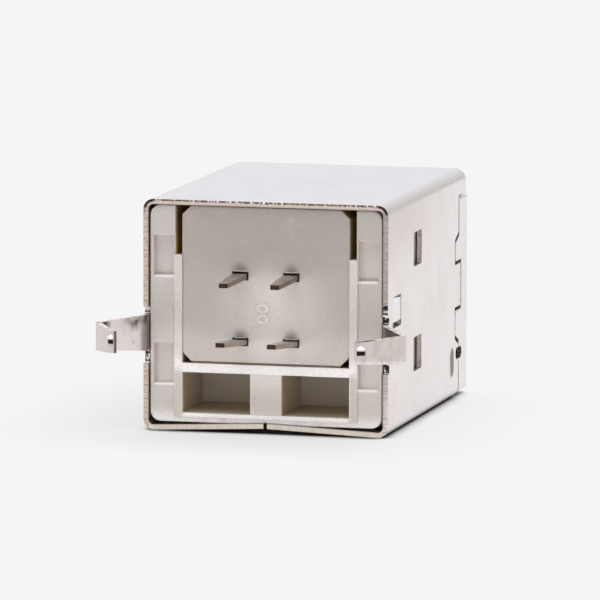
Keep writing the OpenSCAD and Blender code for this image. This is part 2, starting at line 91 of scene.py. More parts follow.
class Shading:
    """A node tree that is being made."""

    def __init__(self, tree: bpy.types.NodeTree) -> None:
        """Empties the tree."""
        self.tree = tree
        tree.nodes.clear()

    def add(self, kind: str, inputs: Inputs | None = None, **settings: Any) -> Node:
        """Adds one node, with its settings, its values and its links.

        Args:
            kind: The node's type without its ShaderNode prefix.
            inputs: What its inputs get, by name or place, or two values by two places. A node gives the
                first output that its settings leave on, and a text is an sRGB hex colour.
            settings: Attributes of the node itself, such as its operation.

        Returns:
            The new node.
        """
        node = self.tree.nodes.new("ShaderNode" + kind)
        for name, value in settings.items():
            setattr(node, name, value)
        for key, value in (inputs or {}).items():
            pairs = zip(key, value) if isinstance(key, tuple) else [(key, value)]
            for place, source in pairs:
                if isinstance(source, Node):
                    source = next(output for output in source.outputs if output.enabled)
                if isinstance(source, str):
                    source = linear(source)
                if isinstance(source, Socket):
                    self.tree.links.new(source, node.inputs[place])
                else:
                    node.inputs[place].default_value = source
        return node


class Skin(Shading):
    """A material that is being made, with its places in millimetres above the resting plane."""

    def __init__(self, name: str, floor_mm: float) -> None:
        """Makes the material with its places and facings.

        Args:
            name: The material's name.
            floor_mm: Height of the resting plane in the part's frame.
        """
        self.material = bpy.data.materials.new(name)
        self.material.use_nodes = True
        super().__init__(self.material.node_tree)
        coords = self.add("TexCoord").outputs
        scale = (1 / MM, 1 / MM, 1 / MM)
        scaled = {"Vector": coords["Object"], "Location": (0, 0, -floor_mm), "Scale": scale}
        self.place = self.add("Mapping", scaled)
        self.x, self.y, self.z = self.add("SeparateXYZ", {0: self.place}).outputs
        self.aside = self.add("Math", {0: self.x}, operation="ABSOLUTE")
        facing = self.add("SeparateXYZ", {0: coords["Normal"]})
        self.facing_x, self.facing_y, self.facing_z = facing.outputs

    def close(self, inputs: Inputs) -> bpy.types.Material:
        """Adds the principled shader and the output.

        Args:
            inputs: The shader's values and links.

        Returns:
            The finished material.
        """
        shader = self.add("BsdfPrincipled", inputs)
        self.add("OutputMaterial", {"Surface": shader})
        return self.material


@dataclass(frozen=True)
class SheetSizes:
    """Sizes of the folded sheet that its finishes share."""

    half_width_mm: float = 6.0
    height_mm: float = 11.1
    fold_mm: float = 0.5
    sheet_mm: float = 0.25
    toe_mm: float = -3.0
    level_facing: float = 0.97

    def from_top(self, drops: Span) -> Span:
        """Gives the heights of two places by their drops below the top."""
        return self.height_mm - drops[0], self.height_mm - drops[1]


@dataclass(frozen=True)
class Plating(SheetSizes):
    """The plated faces: satin nickel, faintly smudged, with painted shade on the top, high on the walls, in
    the stake's dent and along the seams, and a painted reflection in the folds.
    """

    face: str = "f2ecea"
    shaded_top_face: str = "e6dfdf"
    smudge: str = "ebe5e2"
    shaded_top_smudge: str = "dfdada"
    high_shade: str = "dcd3cf"
    darkened: str = "c1b9b3"
    dent_shade: str = "978c84"
    # The seams' tarnish colour is painted shade along their edges.
    tarnish: str = "8d837c"
    smudge_mm: float = 1.7
    high_shade_along_mm: Span = (15.0, 2.0)
    high_shade_from_mm: float = 6.5
    high_shade_drop_mm: float = 0.6
    fold_from_mm: float = 4.8
    dent_mm: Span = (12.0, 15.0)
    seam_from_mm: float = 14.2
    seam_edge_mm: float = 0.1
    seam_samples: int = 4
    # Levels of noise and facing between which each look sets in, and how strong it gets.
    cloudy: Span = (0.4, 0.75)
    lying: Span = (0.4, 0.95)
    standing: Span = (0.9, 0.6)
    fold_power: float = 4.0
    turning_up: Span = (0.02, 0.3)
    sloping: Span = (0.02, 0.14)
    steep: float = 0.8
    edge: Span = (0.995, 0.9)
    edge_share: float = 0.6

    def colour(self, s: Skin) -> Node:
        """Adds the plated faces' colour.

        Args:
            s: The material that is being made.

        Returns:
            The node that mixes the colour.
        """
        # Handling leaves faint cloudy smudges on the plating.
        clouds = s.add("TexNoise", {"Vector": s.place, "Scale": 1 / self.smudge_mm, "Detail": 5.0})
        cloudy = s.add("MapRange", {0: clouds, (1, 2): self.cloudy}, **SMOOTH)
        walls = s.add("Mix", {0: cloudy, 6: self.face, 7: self.smudge}, data_type="RGBA")
        # Faces that look up are painted a little darker than the walls: painted shade.
        panel = s.add("Mix", {0: cloudy, 6: self.shaded_top_face, 7: self.shaded_top_smudge}, data_type="RGBA")
        lying = s.add("MapRange", {0: s.facing_z, (1, 2): self.lying}, **SMOOTH)
        fresh = s.add("Mix", {0: lying, 6: walls, 7: panel}, data_type="RGBA")
        # The walls are painted darker toward the upper rear: painted shade.
        rearward = s.add("MapRange", {0: s.y, (1, 2): self.high_shade_along_mm}, **SMOOTH)
        high_shade_to_mm = self.height_mm - self.high_shade_drop_mm
        above = s.add("MapRange", {0: s.z, 1: self.high_shade_from_mm, 2: high_shade_to_mm}, **SMOOTH)
        upper_rear = s.add("Math", {0: rearward, 1: above}, operation="MULTIPLY")
        standing = s.add("MapRange", {0: s.facing_z, (1, 2): self.standing})
        shaded_high = s.add("Math", {0: upper_rear, 1: standing}, operation="MULTIPLY")
        clean = s.add("Mix", {0: shaded_high, 6: fresh, 7: self.high_shade}, data_type="RGBA")
        # Toward the side wall the fold's faces that turn up are painted duller: a painted reflection of the
        # dim room.
        sideways = s.add("MapRange", {0: s.aside, 1: self.fold_from_mm, 2: self.half_width_mm})
        stretched = s.add("Math", {0: sideways, 1: self.fold_power}, operation="POWER")
        upward = s.add("MapRange", {0: s.facing_z, (1, 2): self.turning_up}, **SMOOTH)
        bent = s.add("Math", {0: stretched, 1: upward}, operation="MULTIPLY")
        folded = s.add("Mix", {0: bent, 6: clean, 7: self.darkened}, data_type="RGBA")
        # The stake's dent is painted darker on its slopes: painted shade.
        turned = s.add("Math", {0: s.facing_x}, operation="ABSOLUTE")
        tilted = s.add("Math", {0: s.facing_y}, operation="ABSOLUTE")
        slope = s.add("MapRange", {0: tilted, (1, 2): self.sloping}, **SMOOTH)
        dent_from_mm, dent_to_mm = self.dent_mm
        past = s.add("Math", {0: s.y, 1: dent_from_mm}, operation="GREATER_THAN")
        short = s.add("Math", {0: s.y, 1: dent_to_mm}, operation="LESS_THAN")
        beside = s.add("Math", {0: past, 1: short}, operation="MULTIPLY")
        steep = s.add("Math", {0: turned, 1: self.steep}, operation="GREATER_THAN")
        on_side = s.add("Math", {0: beside, 1: steep}, operation="MULTIPLY")
        dent_shaded = s.add("Math", {0: slope, 1: on_side}, operation="MULTIPLY")
        marked = s.add("Mix", {0: dent_shaded, 6: folded, 7: self.dent_shade}, data_type="RGBA")
        # Where the wings meet the walls, the edges are painted darker: painted shade along the seams.
        softened = s.add("Bevel", {"Radius": self.seam_edge_mm * MM}, samples=self.seam_samples)
        plain = s.add("NewGeometry").outputs["Normal"]
        straight = s.add("VectorMath", {0: softened, 1: plain}, operation="DOT_PRODUCT")
        edge = s.add("MapRange", {0: straight, (1, 2): self.edge, 4: self.edge_share})
        frontward = s.add("Math", {0: s.y, 1: self.seam_from_mm}, operation="GREATER_THAN")
        seam = s.add("Math", {0: frontward, 1: steep}, operation="MULTIPLY")
        seam_shaded = s.add("Math", {0: edge, 1: seam}, operation="MULTIPLY")
        return s.add("Mix", {0: seam_shaded, 6: marked, 7: self.tarnish}, data_type="RGBA")


@dataclass(frozen=True)
class StainedAndShadedLegs(SheetSizes):
    """The legs: duller than the walls, with painted shade and reflection near the root and in the bends,
    and brown in places on the cut edges.
    """

    handled: str = "e6ddd8"
    lit_inner_face: str = "ece5e1"
    shaded: str = "584d45"
    lower_edge_highlight: str = "f8f2ee"
    stain_and_reflection: str = "85766a"
    bend_shade: str = "503c2a"
    clouded_toe: str = "c2b8b1"
    edge_dark: str = "a89a8e"
    edge_light: str = "ebe3dd"
    tip_dark: str = "8a7b70"
    stain_mm: float = 0.5
    edge_patch_mm: float = 0.4
    low_mm: float = 3.66
    taper: float = 0.114
    lower_highlight_mm: Span = (0.2, 0.05)
    shaded_mm: Span = (5.5, 6.2)
    rootward_mm: Span = (-2.0, -0.5)
    root_band_mm: Span = (-0.75, -0.4)
    crease_mm: Span = (-0.35, -0.08)
    apex_mm: Span = (6.95, 7.15)
    streak_up_mm: Span = (4.7, 5.35)
    streak_along_mm: Span = (-1.9, -0.8)
    shaded_toe_edge_mm: Span = (6.55, 6.35)
    # Levels of noise and facing between which each look sets in, and how strong it gets.
    patchy: Span = (0.5, 0.72)
    patchy_share: float = 0.4
    least_stain: float = 0.04
    clouding: Span = (0.35, 0.7)
    clouding_share: float = 0.35
    band_share: float = 0.66
    streaky: Span = (0.3, 0.55)
    streak_share: float = 0.95
    specked: Span = (0.35, 0.52)

    def colour(self, s: Skin, inner: Node, tip: Node) -> Node:
        """Adds the legs' colour.

        Args:
            s: The material that is being made.
            inner: Share of the faces that look toward the part's middle.
            tip: Share of the cut ends of the toes.

        Returns:
            The node that mixes the colour.
        """
        right = s.add("Math", {0: s.x, 1: 0.0}, operation="GREATER_THAN")
        # The inner faces are painted paler than the outer ones: painted light. The right leg's, which lies
        # in its toe's shade, is painted dark instead: painted shade.
        outmost = s.add("MapRange", {0: s.x, (1, 2): self.shaded_mm}, **SMOOTH)
        inside = s.add("Mix", {0: outmost, 6: self.lit_inner_face, 7: self.shaded}, data_type="RGBA")
        plain = s.add("Mix", {0: inner, 6: self.handled, 7: inside}, data_type="RGBA")
        # The right leg's lower edge is painted pale: a painted highlight along its rolled edge.
        slanted = s.add("Math", {0: s.y, 1: self.taper, 2: s.z}, operation="MULTIPLY_ADD")
        low = s.add("MapRange", {0: slanted, (1, 2): [self.low_mm + above for above in self.lower_highlight_mm]})
        rolled = s.add("Math", {0: low, 1: right}, operation="MULTIPLY")
        sides = s.add("Mix", {0: rolled, 6: plain, 7: self.lower_edge_highlight}, data_type="RGBA")
        clouds = s.add("TexNoise", {"Vector": s.place, "Scale": 1 / self.stain_mm, "Detail": 5.0})
        # Near the root the legs are patched brown: partly staining, partly a painted reflection of the
        # brown gap and rear face beside them.
        patchy = s.add("MapRange", {0: clouds, (1, 2): self.patchy, 4: self.patchy_share}, **SMOOTH)
        rootward = s.add("MapRange", {0: s.y, (1, 2): self.rootward_mm, 3: self.least_stain}, **SMOOTH)
        stained_and_reflected = s.add("Math", {0: patchy, 1: rootward}, operation="MULTIPLY")
        mottled = s.add("Mix", {0: stained_and_reflected, 6: sides, 7: self.stain_and_reflection}, data_type="RGBA")
        # The toes are clouded darker in random patches.
        toes = s.add("Math", {0: s.y, 1: self.toe_mm}, operation="LESS_THAN")
        clouding = s.add("MapRange", {0: clouds, (1, 2): self.clouding, 4: self.clouding_share}, **SMOOTH)
        toe_clouds = s.add("Math", {0: clouding, 1: toes}, operation="MULTIPLY")
        clouded = s.add("Mix", {0: toe_clouds, 6: mottled, 7: self.clouded_toe}, data_type="RGBA")
        # Painted shade darkens the inner face in its two bends and near the apex, where the folds close in,
        # and a broken dark streak runs along its top toward the root.
        band = s.add("MapRange", {0: s.y, (1, 2): self.root_band_mm, 4: self.band_share}, **SMOOTH)
        crease = s.add("MapRange", {0: s.y, (1, 2): self.crease_mm}, **SMOOTH)
        bend = s.add("Math", {0: band, 1: crease}, operation="MAXIMUM")
        apex = s.add("MapRange", {0: s.aside, (1, 2): self.apex_mm})
        corners = s.add("Math", {0: bend, 1: apex}, operation="MAXIMUM")
        topward = s.add("MapRange", {0: s.z, (1, 2): self.streak_up_mm, 4: self.streak_share}, **SMOOTH)
        backward = s.add("MapRange", {0: s.y, (1, 2): self.streak_along_mm}, **SMOOTH)
        cloud = s.add("MapRange", {0: clouds, (1, 2): self.streaky})
        run = s.add("Math", {0: topward, 1: backward}, operation="MULTIPLY")
        streak = s.add("Math", {0: run, 1: cloud}, operation="MULTIPLY")
        creases = s.add("Math", {0: corners, 1: streak}, operation="MAXIMUM")
        shaded_bends = s.add("Math", {0: creases, 1: inner}, operation="MULTIPLY")
        bent = s.add("Mix", {0: shaded_bends, 6: clouded, 7: self.bend_shade}, data_type="RGBA")
        # The cut edges on top and at the left tip are brown in places.
        topped = s.add("Math", {0: s.facing_z, 1: self.level_facing}, operation="GREATER_THAN")
        specks = s.add("TexNoise", {"Vector": s.place, "Scale": 1 / self.edge_patch_mm, "Detail": 3.0})
        speck = s.add("MapRange", {0: specks, (1, 2): self.specked}, **SMOOTH)
        edge = s.add("Mix", {0: speck, 6: self.edge_dark, 7: self.edge_light}, data_type="RGBA")
        # Toward its inboard end the right toe's top edge takes the painted shade of the inner face.
        inboard = s.add("MapRange", {0: s.x, (1, 2): self.shaded_toe_edge_mm}, **SMOOTH)
        right_toe = s.add("Math", {0: toes, 1: right}, operation="MULTIPLY")
        shaded_toe_edge = s.add("Math", {0: inboard, 1: right_toe}, operation="MULTIPLY")
        top_edge = s.add("Mix", {0: shaded_toe_edge, 6: edge, 7: self.shaded}, data_type="RGBA")
        edged = s.add("Mix", {0: topped, 6: bent, 7: top_edge}, data_type="RGBA")
        left = s.add("Math", {0: s.x, 1: 0.0}, operation="LESS_THAN")
        left_tip = s.add("Math", {0: tip, 1: left}, operation="MULTIPLY")
        return s.add("Mix", {0: left_tip, 6: edged, 7: self.tip_dark}, data_type="RGBA")


@dataclass(frozen=True)
class RawRim(SheetSizes):
    """The rear rim: bare cut steel with a broken dark burr along the top, and painted light and shade that
    differ from side to side.
    """

    bottom: str = "e8e0d2"
    top: str = "decdc1"
    left: str = "d8c8b9"
    right: str = "bbafa9"
    right_low: str = "e2d8d3"
    shear_line: str = "8f8074"
    burr_dark: str = "6a5a4e"
    burr_glint: str = "f8f3ee"
    dark_reflection: str = "2a201b"
    seam_rise_deg: float = 2.5
    seam_below_mm: float = 1.0
    low_mm: Span = (3.4, 0.8)
    bite_mm: float = 0.07
    dash_mm: float = 0.15
    dash_stretch: float = 0.3
    burr_mm: Span = (0.19, 0.15)
    burr_wander_mm: float = 0.16
    burr_drop_mm: Span = (0.8, 0.4)
    corner_mm: Span = (-0.15, 0.1)
    corner_drop_mm: Span = (0.6, 0.35)
    corner_depth_mm: Span = (0.17, 0.1)
    steps_mm: Span = (5.7, 6.35)
    step_mm: float = 0.22
    # Levels of noise and facing between which each look sets in, and how strong it gets.
    stroke_shares: Span = (0.12, 0.55)
    lined: Span = (0.56, 0.4)
    bite_share: float = 0.55
    dashed: Span = (0.49, 0.63)
    stepping: Span = (0.51, 0.57)

    def colour(self, s: Skin, wall: Node, strokes: Node) -> Node:
        """Adds the rear rim's colour.

        Args:
            s: The material that is being made.
            wall: Share of the side walls.
            strokes: The shear's strokes.

        Returns:
            The node that mixes the colour.
        """
        # Each side of the rim is painted its own tone as the light falls on it: painted light and shade,
        # darkest on the right side and paler there low down.
        right = s.add("Math", {0: s.x, 1: 0.0}, operation="GREATER_THAN")
        upper = s.add("Math", {0: s.z, 1: self.height_mm / 2}, operation="GREATER_THAN")
        footward = s.add("MapRange", {0: s.z, (1, 2): self.low_mm}, **SMOOTH)
        right_side = s.add("Mix", {0: footward, 6: self.right, 7: self.right_low}, data_type="RGBA")
        sides = s.add("Mix", {0: right, 6: self.left, 7: right_side}, data_type="RGBA")
        ends = s.add("Mix", {0: upper, 6: self.bottom, 7: self.top}, data_type="RGBA")
        steel = s.add("Mix", {0: wall, 6: ends, 7: sides}, data_type="RGBA")
        strength = s.add("MapRange", {0: wall, (3, 4): self.stroke_shares})
        line = s.add("MapRange", {0: strokes, (1, 2): self.lined}, **SMOOTH)
        lined = s.add("Math", {0: line, 1: strength}, operation="MULTIPLY")
        sheared = s.add("Mix", {0: lined, 6: steel, 7: self.shear_line}, data_type="RGBA")
        # The shear's last bite leaves a thin brown line along the inner edge.
        depth = self.depth(s)
        bite_from_mm = self.sheet_mm - self.bite_mm
        last = s.add("MapRange", {0: depth, 1: bite_from_mm, 2: self.sheet_mm, 4: self.bite_share})
        bitten = s.add("Mix", {0: last, 6: sheared, 7: self.shear_line}, data_type="RGBA")
        # The burr along the top breaks up into dark dashes and pale dashes of painted highlight.
        ragged = s.add("TexNoise", {"Vector": s.place, "Scale": 1 / self.dash_mm, "Detail": 4.0})
        wander = s.add("Math", {0: ragged, 1: self.burr_wander_mm, 2: depth}, operation="MULTIPLY_ADD")
        edge = s.add("MapRange", {0: wander, (1, 2): self.burr_mm}, **SMOOTH)
        high = s.add("MapRange", {0: s.z, (1, 2): self.from_top(self.burr_drop_mm)})
        burr = s.add("Math", {0: edge, 1: high}, operation="MULTIPLY")
        stretched = s.add("Mapping", {"Vector": s.place, "Scale": (1, 1, self.dash_stretch)})
        dashes = s.add("TexNoise", {"Vector": stretched, "Scale": 1 / self.dash_mm, "Detail": 3.0})
        dash = s.add("MapRange", {0: dashes, (1, 2): self.dashed}, **SMOOTH)
        broken = s.add("Mix", {0: dash, 6: self.burr_dark, 7: self.burr_glint}, data_type="RGBA")
        burred = s.add("Mix", {0: burr, 6: bitten, 7: broken}, data_type="RGBA")
        # The two upper corners are painted near black: a painted dark reflection on their rounded outer
        # edges.
        corner_mm = [self.half_width_mm - self.fold_mm + out for out in self.corner_mm]
        far_out = s.add("MapRange", {0: s.aside, (1, 2): corner_mm}, **SMOOTH)
        high_up = s.add("MapRange", {0: s.z, (1, 2): self.from_top(self.corner_drop_mm)}, **SMOOTH)
        cornered = s.add("Math", {0: far_out, 1: high_up}, operation="MULTIPLY")
        skin_deep = s.add("MapRange", {0: depth, (1, 2): self.corner_depth_mm}, **SMOOTH)
        painted_dark = s.add("Math", {0: cornered, 1: skin_deep}, operation="MULTIPLY")
        cornered_off = s.add("Mix", {0: painted_dark, 6: burred, 7: self.dark_reflection}, data_type="RGBA")
        # Over the right leg's notch the rim is painted in dark and bright steps: painted reflections in its
        # shiny cut edges.
        steps_from_mm, steps_to_mm = self.steps_mm
        over = s.add("Math", {0: s.z, 1: steps_from_mm}, operation="GREATER_THAN")
        under = s.add("Math", {0: s.z, 1: steps_to_mm}, operation="LESS_THAN")
        between = s.add("Math", {0: over, 1: under}, operation="MULTIPLY")
        on_right = s.add("Math", {0: right, 1: wall}, operation="MULTIPLY")
        stepped = s.add("Math", {0: between, 1: on_right}, operation="MULTIPLY")
        along_z = s.add("Mapping", {"Vector": s.place, "Scale": (self.dash_stretch, 1, 1)})
        step_noise = s.add("TexNoise", {"Vector": along_z, "Scale": 1 / self.step_mm, "Detail": 2.0})
        step_share = s.add("MapRange", {0: step_noise, (1, 2): self.stepping})
        steps = s.add("Mix", {0: step_share, 6: self.dark_reflection, 7: self.burr_glint}, data_type="RGBA")
        return s.add("Mix", {0: stepped, 6: cornered_off, 7: steps}, data_type="RGBA")

    def depth(self, s: Skin) -> Node:
        """Adds the depth into the sheet from its outer skin, with the bottom halves laid level first.

        Args:
            s: The material that is being made.

        Returns:
            The node that gives the depth in millimetres.
        """
        reach_mm = self.half_width_mm - self.fold_mm
        tilt = math.tan(math.radians(self.seam_rise_deg))
        rise = s.add("Math", {0: s.aside, 1: -tilt, 2: tilt * reach_mm}, operation="MULTIPLY_ADD")
        risen = s.add("Math", {0: rise, 1: 0.0}, operation="MAXIMUM")
        lower = s.add("Math", {0: s.z, 1: self.seam_below_mm}, operation="LESS_THAN")
        lift = s.add("Math", {0: risen, 1: lower}, operation="MULTIPLY")
        levelled = s.add("Math", {0: s.z, 1: lift}, operation="SUBTRACT")
        flat = s.add("CombineXYZ", {0: s.x, 1: levelled})
        middle = s.add("VectorMath", {0: flat, 1: (0, self.height_mm / 2, 0)}, operation="SUBTRACT")
        folded = s.add("VectorMath", {0: middle}, operation="ABSOLUTE")
        corner = (reach_mm, self.height_mm / 2 - self.fold_mm, 0)
        past = s.add("VectorMath", {0: folded, 1: corner}, operation="SUBTRACT")
        outside = s.add("VectorMath", {0: past, 1: (0, 0, 0)}, operation="MAXIMUM")
        radius = s.add("VectorMath", {0: outside}, operation="LENGTH")
        return s.add("Math", {0: self.fold_mm, 1: radius}, operation="SUBTRACT")


@dataclass(frozen=True)
class NickelSheet(SheetSizes):
    """Steel sheet, nickel plated, stamped and cut off its strip: satin faces, raw beige cut at the rear."""

    plating: Plating = Plating()
    legs: StainedAndShadedLegs = StainedAndShadedLegs()
    raw_rim: RawRim = RawRim()
    painted_dark: str = "3b3029"
    pressed: str = "fdfaf7"
    slack_mm: float = 0.01
    rim_depth_mm: float = 0.02
    leg_root_mm: float = -0.05
    notch_mm: float = 1.0
    stroke_mm: float = 0.11
    stroke_stretch: float = 0.15
    spot_mm: float = 0.3
    grain_mm: float = 0.12
    grain_stretch: float = 0.06
    grain_relief: float = 0.12
    uneven_mm: float = 0.15
    rounding_mm: Span = (0.02, 0.07)
    relief_mm: float = 0.02
    relief: float = 0.3
    # Levels of noise and facing between which each look sets in, and how strong it gets.
    cut: Span = (-0.8, -0.95)
    inward: Span = (-1.0, -2.5)
    backward: Span = (-0.3, -0.5)
    spotted: Span = (0.47, 0.53)
    bulging: Span = (0.1, 0.3)
    uneven: Span = (0.35, 0.65)
    face_roughness: float = 0.27
    rim_roughness: float = 0.45
    leg_roughness: float = 0.6
    bright_roughness: float = 0.14
    grain_roughness: float = 0.1
    inner_metallic: float = 0.35
    pressed_metallic: float = 0.45
    rim_metallic: float = 0.45

    def material(self, floor_mm: float) -> bpy.types.Material:
        """Makes the sheet's material.

        Args:
            floor_mm: Height of the resting plane in the part's frame.

        Returns:
            The material.
        """
        s = Skin("nickel_plated_sheet", floor_mm)
        # Edges that look back at the board were cut, and only the rear rim was cut after the plating.
        cut = s.add("MapRange", {0: s.facing_y, (1, 2): self.cut}, **SMOOTH)
        near = s.add("Math", {0: s.y, 1: self.rim_depth_mm}, operation="LESS_THAN")
        off_leg = s.add("Math", {0: s.y, 1: self.leg_root_mm}, operation="GREATER_THAN")
        rear = s.add("Math", {0: near, 1: off_leg}, operation="MULTIPLY")
        rim = s.add("Math", {0: cut, 1: rear}, operation="MULTIPLY")
        inside = s.add("Math", {0: s.y, 1: self.rim_depth_mm}, operation="GREATER_THAN")
        bright_edge = s.add("Math", {0: cut, 1: inside}, operation="MULTIPLY")
        on_leg = s.add("Math", {0: s.y, 1: self.leg_root_mm}, operation="LESS_THAN")
        inner_skin_mm = self.half_width_mm - self.sheet_mm - self.slack_mm
        wall = s.add("Math", {0: s.aside, 1: inner_skin_mm}, operation="GREATER_THAN")
        # The shear leaves short strokes across the thickness of the sheet.
        along_x = s.add("Mapping", {"Vector": s.place, "Scale": (1, 1, self.stroke_stretch)})
        along_z = s.add("Mapping", {"Vector": s.place, "Scale": (self.stroke_stretch, 1, 1)})
        level = s.add("TexNoise", {"Vector": along_x, "Scale": 1 / self.stroke_mm, "Detail": 2.0})
        upright = s.add("TexNoise", {"Vector": along_z, "Scale": 1 / self.stroke_mm, "Detail": 2.0})
        strokes = s.add("Mix", {0: wall, 2: level, 3: upright}, data_type="FLOAT")
        # A leg's inner face looks back toward the part's middle.
        across = s.add("Math", {0: s.x, 1: s.facing_x}, operation="MULTIPLY")
        inward = s.add("MapRange", {0: across, (1, 2): self.inward})
        heel = s.add("Math", {0: s.y, 1: self.toe_mm}, operation="GREATER_THAN")
        heel_face = s.add("Math", {0: inward, 1: heel}, operation="MULTIPLY")
        inner_leg = s.add("Math", {0: heel_face, 1: on_leg}, operation="MULTIPLY")
        # The end of the toe looks the same way and back at the board.
        backward = s.add("MapRange", {0: s.facing_y, (1, 2): self.backward})
        toe = s.add("Math", {0: s.y, 1: self.toe_mm}, operation="LESS_THAN")
        toe_end = s.add("Math", {0: backward, 1: toe}, operation="MULTIPLY")
        tip = s.add("Math", {0: toe_end, 1: inward}, operation="MULTIPLY")
        plated = self.plating.colour(s)
        leg = self.legs.colour(s, inner_leg, tip)
        raw = self.raw_rim.colour(s, wall, strokes)
        toned = s.add("Mix", {0: on_leg, 6: plated, 7: leg}, data_type="RGBA")
        # The notches' floors beside the legs are spotted dark: painted dark reflections in their shiny
        # rounded floors.
        near_rim = s.add("Math", {0: s.y, 1: self.notch_mm}, operation="LESS_THAN")
        notch = s.add("Math", {0: bright_edge, 1: near_rim}, operation="MULTIPLY")
        spots = s.add("TexNoise", {"Vector": s.place, "Scale": 1 / self.spot_mm, "Detail": 2.0})
        spotted = s.add("MapRange", {0: spots, (1, 2): self.spotted})
        dark = s.add("Math", {0: spotted, 1: notch}, operation="MULTIPLY")
        notched = s.add("Mix", {0: dark, 6: toned, 7: self.painted_dark}, data_type="RGBA")
        cut_back = s.add("Mix", {0: rim, 6: notched, 7: raw}, data_type="RGBA")
        # The pressed bumps on the toes are painted near white, the brightest of all: a painted highlight.
        bulging = s.add("MapRange", {0: s.facing_z, (1, 2): self.bulging}, **SMOOTH)
        rounded_off = s.add("Math", {0: s.facing_z, 1: self.level_facing}, operation="LESS_THAN")
        bulge = s.add("Math", {0: bulging, 1: rounded_off}, operation="MULTIPLY")
        bump_face = s.add("Math", {0: bulge, 1: on_leg}, operation="MULTIPLY")
        colour = s.add("Mix", {0: bump_face, 6: cut_back, 7: self.pressed}, data_type="RGBA")
        # Rolling leaves fine lines along the sheet.
        drawn_out = s.add("Mapping", {"Vector": s.place, "Scale": (1, self.grain_stretch, 1)})
        rolled = s.add("TexNoise", {"Vector": drawn_out, "Scale": 1 / self.grain_mm, "Detail": 2.0})
        # Cut edges under the plating and the bumps shine, the legs and the raw rim are dull.
        satin = s.add("Mix", {0: rim, 2: self.face_roughness, 3: self.rim_roughness}, data_type="FLOAT")
        dull = s.add("Mix", {0: on_leg, 2: satin, 3: self.leg_roughness}, data_type="FLOAT")
        shiny = s.add("Math", {0: bump_face, 1: bright_edge}, operation="MAXIMUM")
        base = s.add("Mix", {0: shiny, 2: dull, 3: self.bright_roughness}, data_type="FLOAT")
        rough = s.add("Math", {0: rolled, 1: self.grain_roughness, 2: base}, operation="MULTIPLY_ADD")
        # The die rounds the edges unevenly.
        rounding = s.add("TexNoise", {"Vector": s.place, "Scale": 1 / self.uneven_mm, "Detail": 2.0})
        radii = [radius_mm * MM for radius_mm in self.rounding_mm]
        radius = s.add("MapRange", {0: rounding, (1, 2): self.uneven, (3, 4): radii})
        rounded = s.add("Bevel", {"Radius": radius}, samples=EDGE_SAMPLES)
        grooves = s.add("Math", {0: strokes, 1: rim}, operation="MULTIPLY")
        height = s.add("Math", {0: rolled, 1: self.grain_relief, 2: grooves}, operation="MULTIPLY_ADD")
        bump = s.add("Bump", {"Strength": self.relief, "Distance": self.relief_mm * MM, "Height": height,
                              "Normal": rounded})
        mirror = s.add("MapRange", {0: inner_leg, 3: 1.0, 4: self.inner_metallic})
        pressed = s.add("Mix", {0: bump_face, 2: mirror, 3: self.pressed_metallic}, data_type="FLOAT")
        metallic = s.add("Mix", {0: rim, 2: pressed, 3: self.rim_metallic}, data_type="FLOAT")
        return s.close({"Base Color": colour, "Metallic": metallic, "Roughness": rough, "Normal": bump})


